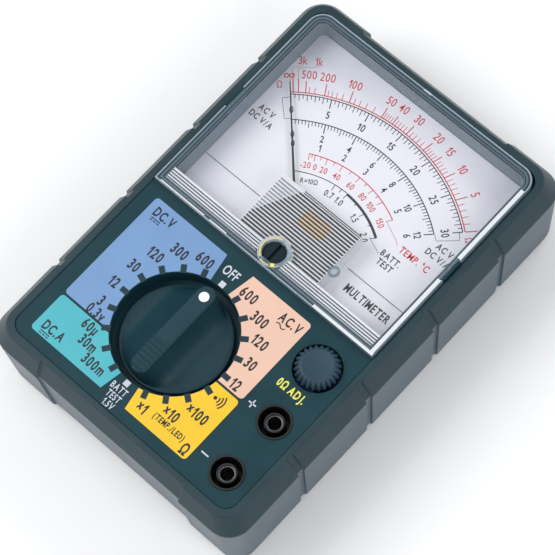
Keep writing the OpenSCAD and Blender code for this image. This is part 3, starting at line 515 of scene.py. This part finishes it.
def range_knob():
    low, high = box_mm("range_knob")
    top_z = high.z - 0.08
    radius = (high.x - low.x) / 2
    disc_top = PANEL_Z - 4
    bm = bmesh.new()
    profile = [(radius - 0.5, disc_top - 1.4), (radius, disc_top - 1.1), (radius, disc_top - 0.35)]
    profile += [(radius - 0.5 + 0.5 * math.cos(t), disc_top - 0.35 + 0.35 * math.sin(t)) for t in ROUNDING]
    profile += [(radius - 1.2, disc_top - 0.02), (radius - 2.5, disc_top - 0.06), (0.01, disc_top - 0.06)]
    lathe(bm, KNOB, profile, steps=128)
    reach, half_top = radius - 0.5, 2.8
    rows = []
    steps = 300
    for i in range(steps + 1):
        y = -reach + 2 * reach * i / steps
        y = max(-reach + 0.004, min(reach - 0.004, y))
        left = bar_section(y, reach, half_top, top_z, disc_top - 0.05, LEFT_STEEP)
        right = bar_section(y, reach, half_top, top_z, disc_top - 0.05, RIGHT_STEEP)
        groove = serration(y)
        row = []
        for side, points in ((-1, reversed(left[1:])), (1, right)):
            for x, z in points:
                cutting = groove * (1 if z > top_z - 0.5 else 0)
                row.append(bm.verts.new((KNOB[0] + side * x, KNOB[1] + y, z - cutting)))
        rows.append(row)
    for one, two in zip(rows, rows[1:]):
        for k in range(len(one) - 1):
            bm.faces.new((one[k], one[k + 1], two[k + 1], two[k]))
    bm.faces.new(rows[0])
    bm.faces.new(rows[-1])
    piece("knob_moulding", bm, "knob_green", "knob", 45, ("range_knob",))


def serration(y):
    """Depth of the eight finger grooves across the lower half of the bar."""
    pitch = 1.55
    first = -4.0
    n = (first - y) / pitch
    if n < 0 or n > 7.6:
        return 0.0
    return 0.42 * (0.5 - 0.5 * math.cos(2 * math.pi * n)) ** 0.6


def knob_dot():
    x, y = centre_xy("knob_dot")
    r = (box_mm("knob_dot")[1].x - box_mm("knob_dot")[0].x) / 2
    top = box_mm("range_knob")[1].z
    bm = bmesh.new()
    profile = [(r, top - 0.5), (r, top - 0.07), (r - 0.1, top - 0.02), (r - 0.5, top), (0.01, top)]
    lathe(bm, (x, y), profile, 48)
    piece("knob_inlay", bm, "white", "knob", 40, ("knob_dot",))


# ---------------------------------------------------------------- meter cover

def outline(low, high, inset, radius, notch_in, notch_y, steps=8):
    """Rounded outline of the cover, set in by inset, with the two notches for the latches."""
    x0, x1, y0, y1 = low.x + inset, high.x - inset, low.y + inset, high.y - inset
    r = max(0.4, radius - inset)
    cut = min(x1, notch_in - 0.3 * inset)
    right = [(x1, notch_y[0]), (cut, notch_y[0]), (cut, notch_y[1]), (x1, notch_y[1])]
    q = 0.3                     # the corners towards the knob are nearly sharp
    corners = []
    for cx, cy, first, k in ((x1 - r, y1 - r, 0, r), (x0 + r, y1 - r, 90, r), (x0 + q, y0 + q, 180, q),
                             (x1 - q, y0 + q, 270, q)):
        turn = [math.radians(first + 90 * i / steps) for i in range(steps + 1)]
        corners.append([(cx + k * math.cos(a), cy + k * math.sin(a)) for a in turn])
    return right + corners[0] + corners[1] + [(-x, y) for x, y in reversed(right)] + corners[2] + corners[3]


def sweep_outline(bm, low, high, profile, radius, notch_in, notch_y):
    """Faces between the outlines of a profile of (inset, z)."""
    rows = [[bm.verts.new((x, y, z)) for x, y in outline(low, high, inset, radius, notch_in, notch_y)]
            for inset, z in profile]
    for one, two in zip(rows, rows[1:]):
        for k in range(len(one)):
            n = (k + 1) % len(one)
            bm.faces.new((one[k], one[n], two[n], two[k]))
    return rows


def fill_with_notch(bm, border, centre, radius, z, steps=40):
    """Fills the flat loop of vertices, leaving out a disc that cuts across its lower side."""
    base = min(v.co.y for v in border)
    side = math.asin((base - centre[1]) / radius)
    angles = [math.pi - side - (math.pi - 2 * side) * i / steps for i in range(steps + 1)]
    loop = []
    for a, b in zip(border, border[1:] + border[:1]):
        loop.append(a)
        if max(a.co.y, b.co.y) < base + 0.01 and (a.co.x - centre[0]) * (b.co.x - centre[0]) < 0:
            for turn in angles if a.co.x < b.co.x else reversed(angles):
                at = (centre[0] + radius * math.cos(turn), centre[1] + radius * math.sin(turn), z)
                loop.append(bm.verts.new(at))
    pane = bm.faces.new(loop)
    bm.normal_update()
    bmesh.ops.triangulate(bm, faces=[pane], ngon_method="EAR_CLIP")


def half_round(bm, x0, x1, y, z, width, height):
    """A straight rib along X with a half-round section."""
    ends = []
    for x in (x0, x1):
        ends.append([bm.verts.new((x, y + width / 2 * math.cos(a), z + height * math.sin(a)))
                     for a in [math.pi * i / 6 for i in range(7)]])
    for k in range(6):
        bm.faces.new((ends[0][k], ends[1][k], ends[1][k + 1], ends[0][k + 1]))
    bm.faces.new(ends[0])
    bm.faces.new(ends[1])
    bm.faces.new((ends[0][0], ends[0][6], ends[1][6], ends[1][0]))


def spans_beside(y, centre, radius, x0, x1):
    """The stretches of a line at y, from x0 to x1, that stay outside a circle."""
    away = abs(y - centre[1])
    if away >= radius:
        return [(x0, x1)]
    half = math.sqrt(radius ** 2 - away ** 2)
    return [(a, b) for a, b in ((x0, centre[0] - half), (centre[0] + half, x1)) if b - a > 0.5]


COVER_RADIUS = 5.2
WINDOW_INSET = 2.5
PANE_HOLE = 4.85                                       # radius left open round the zero screw
LATCH_Y, LATCH_HALF, LATCH_DEPTH = 27.5, 3.8, 0.9      # notches for the latches in the two sides


def meter_cover():
    low, high = box_mm("meter_cover")
    top = high.z
    args = (COVER_RADIUS, high.x - LATCH_DEPTH, (LATCH_Y - LATCH_HALF, LATCH_Y + LATCH_HALF))
    edge = bmesh.new()
    profile = [(1.8, low.z), (0.05, low.z), (0.05, top - 0.3), (0.12, top - 0.1), (0.3, top), (0.75, top),
               (0.85, top - 0.28), (1.15, top - 0.28), (1.25, top), (1.75, top), (1.85, top - 0.28),
               (WINDOW_INSET, top - 0.3)]
    sweep_outline(edge, low, high, profile, *args)
    piece("cover_frame", edge, "cover_edge", "case", 30, ("meter_cover",))
    # painted shade: dark lines on the floors of the grooves round the top of the cover
    lines = bmesh.new()
    for inset in (0.85, 1.85):
        sweep_outline(lines, low, high, [(inset, top - 0.25), (inset + 0.3, top - 0.25)], *args)
    ink("cover_groove_painted_shade", lines, "cover_painted_shade")
    glint = bmesh.new()
    sweep_outline(glint, low, high, [(0.36, top + INK), (0.54, top + INK)], *args)
    ink("cover_frame_glint", glint, "cover_glint")
    skirt = bmesh.new()
    sweep_outline(skirt, low, high, [(WINDOW_INSET, top - 1.5), (WINDOW_INSET, DIAL_Z + 0.2)], *args)
    piece("cover_skirt", skirt, "cover_skirt", "case", 40)
    pane = bmesh.new()
    rows = sweep_outline(pane, low, high, [(WINDOW_INSET, top - 0.3), (WINDOW_INSET, top - 1.5)], *args)
    fill_with_notch(pane, rows[0], ZERO, PANE_HOLE, top - 0.3)
    piece("cover_pane", pane, "window", "case", 40)
    flutes(low, high)
    bright_edges(low, high)
    zero_boss(top)
    moulding_gate(top)


def bright_edges(low, high):
    """Painted highlights where the polished edges catch the light: the right side and the right part of the lower
    side, shorter ones on its left part and one at the top, with painted shade lines beside those on the right
    side.
    """
    z = high.z + INK
    bright, dark = bmesh.new(), bmesh.new()
    latch_low, latch_high = 23.4, 31.6
    for y0, y1 in ((low.y + 0.3, latch_low), (latch_high, high.y - COVER_RADIUS - 1)):
        rectangle(bright, high.x - 1.75, high.x - 0.35, y0, y1, z)
        # painted shade: dark lines beside the highlights on the right side
        rectangle(dark, high.x - 2.15, high.x - 1.8, y0, y1, z)
    rectangle(bright, 19.1, high.x - 0.35, low.y + 0.3, low.y + 1.2, z + INK)
    for x0, x1 in ((-39.5, -22.5), (-20.5, -14.0)):
        rectangle(bright, x0, x1, low.y + 0.3, low.y + 0.9, z)
    polygon(bright, [(-1.4, high.y - 0.75), (1.4, high.y - 0.75), (1.1, high.y - 0.25),
                     (-1.1, high.y - 0.25)], z)
    ink("cover_bright_edges", bright, "painted_highlight_white")
    ink("cover_edge_painted_shade_lines", dark, "cover_painted_shade")


def flutes(low, high):
    """The band of fluting along the lower edge of the cover; the flutes' dark colour is painted shade."""
    dark, bed = bmesh.new(), bmesh.new()
    z = high.z - 0.28
    first, pitch = low.y + 2.0, 0.86
    for i in range(5):
        y = first + pitch * i
        for a, b in spans_beside(y, ZERO, 5.0, low.x + WINDOW_INSET, high.x - WINDOW_INSET):
            half_round(dark, a, b, y, z, 0.34, 0.12)
    piece("cover_flutes", dark, "flute_shade", "case", 60)
    y0, y1 = low.y + 1.3, first + pitch * 5
    for a, b in ((low.x + WINDOW_INSET, ZERO[0] - 4.4), (ZERO[0] + 4.4, high.x - WINDOW_INSET)):
        rectangle(bed, a, b, y0, y1, z - 0.1)
    piece("cover_flute_bed", bed, "block_clear", "case", 60)


def zero_boss(top):
    """Clear boss round the zero screw, with its brass washer seen through it."""
    bm = bmesh.new()
    profile = [(4.9, top - 2.2), (4.9, top - 0.3), (4.8, top - 0.08), (4.6, top), (3.85, top),
               (3.7, top - 0.12), (3.6, top - 0.4), (3.6, top - 3.2)]
    lathe(bm, ZERO, profile, 64)
    piece("zero_boss", bm, "cover_skirt", "case", 40)
    brass = bmesh.new()
    ring(brass, ZERO, 4.15, 0.62, top + INK, 96, 240, 30)
    ring(brass, ZERO, 4.35, 0.3, top + INK, 250, 290, 10)
    ink("zero_boss_washer", brass, "brass_pale")
    pale = bmesh.new()
    ring(pale, ZERO, 4.75, 0.14, top + INK, 60, 330, 40)
    ring(pale, ZERO, 4.3, 0.16, top + 2 * INK, 110, 200, 20)
    ink("zero_boss_glint", pale, "painted_highlight_white")
    spot = bmesh.new()
    ring(spot, ZERO, 4.2, 1.1, top + INK, 296, 312, 8)
    ink("zero_boss_spot", spot, "ink_yellow")


def moulding_gate(top):
    """Small round moulding mark beside the corner of the movement window."""
    bm = bmesh.new()
    profile = [(1.8, top - 0.3), (1.75, top - 0.18), (1.45, top - 0.14), (1.15, top - 0.24),
               (0.9, top - 0.28)]
    lathe(bm, (16.6, 6.0), profile, 40)
    piece("moulding_gate", bm, "cover_edge", "case", 40)


def movement_cover():
    """Ribbed window over the movement: a pale clear box with dark half-round ribs across it; the dark of the ribs
    is painted shade.
    """
    low, high = box_mm("movement_cover")
    top = high.z - 0.3
    sides = bmesh.new()
    corners = [(low.x, low.y), (high.x, low.y), (high.x, high.y), (low.x, high.y)]
    rows = [[sides.verts.new((x, y, z)) for x, y in corners] for z in (low.z, top - 0.3)]
    for k in range(4):
        n = (k + 1) % 4
        sides.faces.new((rows[0][k], rows[0][n], rows[1][n], rows[1][k]))
    piece("movement_window_sides", sides, "block_side", "case", 40, ("movement_cover",))
    bed, coil_view = bmesh.new(), bmesh.new()
    x0, x1, y0, y1 = -2.2, 7.0, 11.0, 15.8           # where the bobbin shows through from above
    for xa, xb, ya, yb in ((low.x, high.x, low.y, y0), (low.x, high.x, y1, high.y), (low.x, x0, y0, y1),
                           (x1, high.x, y0, y1)):
        rectangle(bed, xa, xb, ya, yb, top)
    piece("movement_window", bed, "block_clear", "case", 40)
    rectangle(coil_view, x0, x1, y0, y1, top)
    piece("movement_window_clear", coil_view, "bobbin_view", "case", 40)
    dark, pale = bmesh.new(), bmesh.new()
    count = 17
    pitch = (high.y - low.y - 1.2) / count
    for i in range(count):
        y = low.y + 0.7 + pitch * i
        for a, b in spans_beside(y, ZERO, 5.1, low.x + 0.3, high.x - 0.3):
            split = a + 0.2 + 0.54 * max(0, y - 5)
            half_round(pale, a, split, y, top, 0.42, 0.26)
            half_round(dark, split, b, y, top, 0.58, 0.28)
    for y in (high.y - 0.75, high.y - 0.15):
        half_round(dark, -6.6, high.x - 0.2, y, top, 0.3, 0.2)
    piece("movement_ribs", dark, "rib_shade", "case", 60)
    piece("movement_ribs_pale", pale, "rib_pale", "case", 60)


# ---------------------------------------------------------------- zero-ohm adjuster

def adjust_knob():
    """Small knob with pointed ridges that run down from a flat top."""
    low, high = box_mm("adjust_knob")
    radius = (high.x - low.x) / 2
    top = high.z
    ridges = 24
    depth = (0, 0, 0, 0.05, 0.22, 0.4, 0.5, 0.5, 0.5)
    profile = [(0.01, top - 0.1), (radius * 0.6, top - 0.1), (radius * 0.66, top - 0.02),
               (radius * 0.71, top - 0.12), (radius * 0.82, top - 0.5), (radius * 0.92, top - 1.1),
               (radius - 0.02, top - 2.0),
               (radius - 0.02, PANEL_Z + 0.25), (radius - 0.5, PANEL_Z + 0.05)]

    def ridge(angle, row):
        """Radius lost between two ridges."""
        return -depth[row] * 2 * (1 - abs(math.cos(ridges * angle / 2))) ** 0.8

    bm = bmesh.new()
    lathe(bm, centre_xy("adjust_knob"), profile, ridges * 10, ridge)
    piece("adjust_knob_moulding", bm, "adjust_green", "ohm_adjuster", 28, ("adjust_knob",))


# ---------------------------------------------------------------- dial print

ARC_Y = -0.5                       # centre of the printed arcs
SWEEP = (-44.5, 45.0)              # pointer angles at the two ends of the scales


def heading(t):
    a = math.radians(SWEEP[0] + (SWEEP[1] - SWEEP[0]) * t)
    return Vector((math.sin(a), math.cos(a)))


def on_dial(t, radius):
    """Place where the pointer at share t of its swing crosses the arc of that radius."""
    d = heading(t)
    q = PIVOT[1] - ARC_Y
    dot = q * d.y
    s = -dot + math.sqrt(dot * dot - q * q + radius * radius)
    return Vector(PIVOT) + s * d


def arc(bm, radius, width, t0, t1, z, steps=90):
    stroke(bm, [tuple(on_dial(t0 + (t1 - t0) * i / steps, radius)) for i in range(steps + 1)], width, z)


def tick(bm, t, radius, length, width, z):
    stroke(bm, [tuple(on_dial(t, radius)), tuple(on_dial(t, radius + length))], width, z)


def dial_text(text, t, radius, height, weight=0.016, wide=0.76):
    x, y = on_dial(t, radius)
    return text, x, y, height, -(SWEEP[0] + (SWEEP[1] - SWEEP[0]) * t) * 0.92, weight, wide


HALF_SCALE_OHMS = 31.3             # fits the ticks and numerals of the ohm scale


def ohm_share(ohms):
    """Share of full scale for a resistance."""
    return HALF_SCALE_OHMS / (HALF_SCALE_OHMS + ohms)


def black_scales(bm, z):
    for radius, division in ((53.5, 0), (45.4, 1)):
        arc(bm, radius, 0.3, 0, 1, z)
        for i in range(61):
            if division:
                length = 2.9 if i % 10 == 0 else 2.1 if i % 5 == 0 else 1.35
            else:
                length = 2.9 if i % 10 == 0 else 1.9 if i % 2 == 0 else 1.2
            tick(bm, i / 60, radius, -length, 0.3 if i % 10 == 0 else 0.22, z)
    arc(bm, 29.3, 0.26, 0, 0.52, z, 40)
    arc(bm, 29.1, 0.8, 0.52, 1, z, 40)
    for t in (0, 0.378, 0.45, 0.52, 0.645, 0.764, 0.88, 1):
        tick(bm, t, 29.3, -2.0 if t in (0.378, 0.52, 0.764, 1) else -1.2, 0.22, z)
    items = [dial_text(str(5 * i), i / 6, 48.5, 2.25) for i in range(7)]
    items += [dial_text(str(2 * i), i / 6, 40.7, 2.1) for i in range(7)]
    items += [dial_text(str(i), i / 6, 37.8, 2.1) for i in range(7)]
    volts = (("0.7", 0.378), ("1.0", 0.51), ("1.5", 0.76), ("2.0", 0.985))
    items += [dial_text(s, t, 25.9, 1.9) for s, t in volts]
    items.append(dial_text("R=10Ω", 0.14, 27.0, 1.5))
    lettering(bm, items, z)
    for t, turn in ((-0.035, 0), (1.035, 1)):
        pts = [on_dial(turn, 52.6), on_dial(t, 52.2), on_dial(t, 45.6), on_dial(turn, 45.6)]
        stroke(bm, [tuple(p) for p in pts[:2]], 0.14, z)
        stroke(bm, [tuple(p) for p in pts[1:3]], 0.14, z)
        stroke(bm, [tuple(p) for p in pts[2:]], 0.14, z)
    stroke(bm, [tuple(on_dial(1.0, 27.5)), (18.2, 21.4), (19.6, 20.8)], 0.12, z)


def red_scales(bm, z):
    radius = 54.2
    arc(bm, radius, 0.32, 0, 1, z)
    marks = {0: 3.5, 5: 3.5, 10: 3.5, 15: 3.0, 20: 3.5, 30: 3.5, 40: 3.0, 50: 3.5,
             100: 3.8, 200: 3.8, 500: 3.8, 1000: 4.3, 3000: 4.3}
    steps = [*range(20), *range(20, 50, 2), 60, 70, 80, 90, 120, 140, 160, 180, 300, 400]
    for ohms in sorted(set(steps) | set(marks)):
        tick(bm, ohm_share(ohms), radius, marks.get(ohms, 2.0), 0.3 if ohms in marks else 0.19, z)
    tick(bm, 0, radius, 4.3, 0.24, z)
    for ohms, label in ((1000, 0.098), (3000, 0.045)):
        t = ohm_share(ohms)
        stroke(bm, [tuple(on_dial(*at)) for at in ((t, radius + 4.2), (t, 62.0), (label, 63.0))], 0.12, z)
    fine = 0.006
    aside = {500: 0.01}                # this numeral stands a little to the right of its tick
    items = [dial_text(str(v), ohm_share(v) + aside.get(v, 0), 60.1, 2.6, fine)
             for v in (0, 5, 10, 15, 20, 30, 40, 50, 100, 200, 500)]
    items += [dial_text("1k", 0.098, 64.6, 2.5, fine), dial_text("3k", 0.045, 64.6, 2.5, fine)]
    items += [dial_text("∞", -0.002, 59.6, 2.6, fine, 1.0), dial_text("Ω", -0.04, 56.6, 2.1, fine)]
    items += [dial_text("Ω", 1.035, 54.8, 2.1, fine)]
    temps = [("-20", 0.09), ("0", 0.163), ("20", 0.236), ("40", 0.35), ("60", 0.488), ("80", 0.622),
             ("100", 0.73), ("150", 0.881)]
    items += [dial_text(s, t, 31.7, 1.9, 0.01) for s, t in temps]
    items.append(("TEMP. °C", 28.6, 26.0, 2.1, 0, 0.02, 0.78))
    lettering(bm, items, z)
    arc(bm, 35.35, 0.3, 0.107, 0.881, z, 60)
    degrees = (0.107, 0.127, 0.148, 0.19, 0.234, 0.29, 0.35, 0.423, 0.497, 0.563, 0.627, 0.685, 0.737,
               0.881)
    for i, t in enumerate(degrees):
        tick(bm, t, 35.35, -1.9 if i % 2 == 0 or t == 0.881 else -1.1, 0.2, z)
    stroke(bm, [tuple(on_dial(0.885, 33.6)), (20.5, 27.2), (22.3, 26.0)], 0.12, z)


def dial_words(bm, z):
    low, high = box_mm("dial_plate")
    items = [("AC V", -34.6, 33.0, 1.9, 0, 0.02, 0.78), ("DC V/A", -34.2, 29.9, 1.9, 0, 0.02, 0.78),
             ("AC V", 33.4, 33.6, 1.9, 0, 0.02, 0.78), ("DC V/A", 33.4, 30.5, 1.9, 0, 0.02, 0.78),
             ("BATT.", 23.4, 21.9, 1.9, 0, 0.02, 0.78), ("TEST", 23.4, 19.2, 1.9, 0, 0.02, 0.78),
             ("MULTIMETER", 27.4, 7.3, 2.5, 0, 0.028, 0.66)]
    lettering(bm, items, z)
    for x0, x1 in ((low.x + 0.3, -17.9), (16.0, high.x - 0.3)):
        stroke(bm, [(x0, 11.8), (x1, 11.8)], 0.22, z)


def dial_print():
    z = DIAL_Z + INK
    bm = bmesh.new()
    black_scales(bm, z)
    dial_words(bm, z)
    ink("dial_print_black", bm, "ink_black")
    bm = bmesh.new()
    red_scales(bm, z)
    ink("dial_print_red", bm, "ink_red")


# ---------------------------------------------------------------- panel print

def square_mark(bm, angle, radius, size, z, long=None):
    """A small square, or a bar as long as long, on a circle round the knob; angle is from +X."""
    a = math.radians(angle)
    c = Vector(KNOB) + radius * Vector((math.cos(a), math.sin(a)))
    u = Vector((math.cos(a), math.sin(a))) * (long or size) / 2
    v = Vector((-math.sin(a), math.cos(a))) * size / 2
    polygon(bm, [tuple(c + p * u + q * v) for p, q in ((-1, -1), (1, -1), (1, 1), (-1, 1))], z)


NARROW = 0.66


def words(bm, items, height, z, weight=0.03):
    """Condensed lettering: items are (text, x, y)."""
    lettering(bm, [(text, x, y, height, 0, weight, NARROW) for text, x, y in items], z)


def direct_current(bm, x, y, z):
    """The sign for direct current: a line over three dashes."""
    stroke(bm, [(x - 1.7, y + 0.35), (x + 1.7, y + 0.35)], 0.3, z)
    for k in (-1, 0, 1):
        stroke(bm, [(x + k * 1.25 - 0.45, y - 0.35), (x + k * 1.25 + 0.45, y - 0.35)], 0.3, z)


def white_print():
    z = PANEL_Z + INK
    bm = bmesh.new()
    for angle in (90, 270):
        square_mark(bm, angle, 19.45, 1.8, z)
    words(bm, [("OFF", -5.2, -12.9)], 2.9, z, 0.018)
    words(bm, [("BATT", -5.3, -58.5), ("TEST", -5.0, -61.1), ("1.5V", -4.6, -63.7)], 2.0, z, 0.018)
    for node, is_plus in (("jack_housing_plus", True), ("jack_housing_minus", False)):
        x, y = centre_xy(node)
        stroke(bm, [(x - 9.5, y), (x - 6.9, y)], 0.42, z)
        if is_plus:
            stroke(bm, [(x - 8.2, y - 1.3), (x - 8.2, y + 1.3)], 0.42, z)
    ink("panel_print_white", bm, "ink_white")


def black_print():
    z = LABEL_Z + INK
    bm = bmesh.new()
    words(bm, [("DC.V", -31.0, -13.0), ("DC.A", -31.0, -58.3), ("AC.V", 17.6, -13.1)], 2.8, z)
    words(bm, [("600", -13.4, -14.9), ("300", -20.6, -17.7), ("120", -25.2, -22.8), ("30", -27.5, -29.2),
               ("12", -28.4, -36.4), ("3", -27.2, -42.9)], 3.1, z)
    words(bm, [("0.3v", -25.9, -46.4), ("60µ", -24.1, -50.6), ("30m", -21.1, -54.6),
               ("300m", -15.6, -58.1)], 3.0, z)
    words(bm, [("600", 3.2, -14.6), ("300", 10.4, -18.0), ("120", 15.0, -22.9), ("30", 17.4, -29.3),
               ("12", 18.3, -36.4)], 3.1, z)
    words(bm, [("×1", 3.3, -58.3), ("×10", 10.7, -54.4), ("×100", 16.2, -49.7)], 3.1, z)
    words(bm, [("(TEMP./LED)", 12.8, -57.5)], 1.75, z)
    words(bm, [("Ω", 20.4, -59.4)], 3.2, z)
    for x, y in ((-32.5, -15.5), (-32.5, -60.7)):
        direct_current(bm, x, y, z)
    stroke(bm, [(16.0 + 0.32 * i - 1.6, -15.6 + 0.45 * math.sin(i * 0.66)) for i in range(11)], 0.32, z)
    ring(bm, (16.7, -42.9), 0.28, 0.56, z, 0, 360, 16)
    for r in (1.3, 2.2, 3.1):
        ring(bm, (16.7, -42.9), r, 0.4, z, -40, 40, 10)
    ink("panel_print_black", bm, "ink_black")


def panel_print():
    teeth = bmesh.new()
    for i in range(20):
        if i % 10:
            square_mark(teeth, 90 + 18 * i, 19.5, 1.75, LABEL_Z + INK, long=2.6)
    ink("switch_marks", teeth, "ink_panel")
    white_print()
    black_print()
    yellow = bmesh.new()
    x, y = centre_xy("adjust_knob")
    words(yellow, [("0Ω ADJ.", x - 1.1, y - 9.6)], 2.4, PANEL_Z + INK, 0.03)
    ink("panel_print_yellow", yellow, "ink_yellow")


# ---------------------------------------------------------------- stage

FLOOR_REACH = 3000                           # millimetres
LIGHT_AIM = (0, 0, 0.02)                     # metres, as are the places of lights and camera
LENS = 169.05                                # focal length at the photo's angle, on a 36 mm sensor
CAMERA_AT = (0.2237, -0.1705, 0.7115)
CAMERA_RIGHT = (0.7351, 0.6741, -0.0726)
CAMERA_BACK = (0.2990, -0.2263, 0.9270)

def stage():
    bm = bmesh.new()
    rectangle(bm, -FLOOR_REACH, FLOOR_REACH, -FLOOR_REACH, FLOOR_REACH, 0)
    bmesh.ops.scale(bm, vec=(MM, MM, MM), verts=bm.verts)
    mesh = bpy.data.meshes.new("studio_floor")
    bm.to_mesh(mesh)
    bm.free()
    floor = bpy.data.objects.new("studio_floor", mesh)
    bpy.context.scene.collection.objects.link(floor)
    paper = finish("floor_paper", (253, 253, 253), 0.9, vary=0.004, grain=300, grain_depth=0.01, spec=0.1)
    mesh.materials.append(paper)


def area_light(name, place, size, power):
    data = bpy.data.lights.new(name, "AREA")
    data.shape = "RECTANGLE"
    data.size, data.size_y = size
    data.energy = power
    light = bpy.data.objects.new(name, data)
    bpy.context.scene.collection.objects.link(light)
    light.location = place
    light.rotation_euler = (Vector(LIGHT_AIM) - Vector(place)).to_track_quat("-Z", "Y").to_euler()


def lights():
    world = bpy.data.worlds.new("studio")
    world.use_nodes = True
    back = world.node_tree.nodes["Background"]
    back.inputs["Color"].default_value = (0.96, 0.98, 1.0, 1)
    back.inputs["Strength"].default_value = 0.5
    bpy.context.scene.world = world
    area_light("key_softbox", (-0.55, -0.3, 0.85), (0.6, 0.6), 5.6)
    area_light("top_softbox", (0.1, 0.9, 0.8), (0.8, 0.4), 2.6)
    area_light("fill_softbox", (0.8, -0.15, 0.7), (0.6, 0.6), 3.0)
    bpy.context.scene.view_settings.view_transform = "Standard"


def camera():
    data = bpy.data.cameras.new("photo_camera")
    data.sensor_width = 36
    data.lens = LENS
    cam = bpy.data.objects.new("photo_camera", data)
    bpy.context.scene.collection.objects.link(cam)
    back = Vector(CAMERA_BACK).normalized()
    up = back.cross(Vector(CAMERA_RIGHT)).normalized()
    right = up.cross(back)
    turn = Matrix((right, up, back)).transposed().to_4x4()
    cam.matrix_world = Matrix.Translation(CAMERA_AT) @ turn
    bpy.context.scene.camera = cam


carry_over()
range_knob()
knob_dot()
meter_cover()
movement_cover()
adjust_knob()
dial_print()
panel_print()
stage()
lights()
camera()
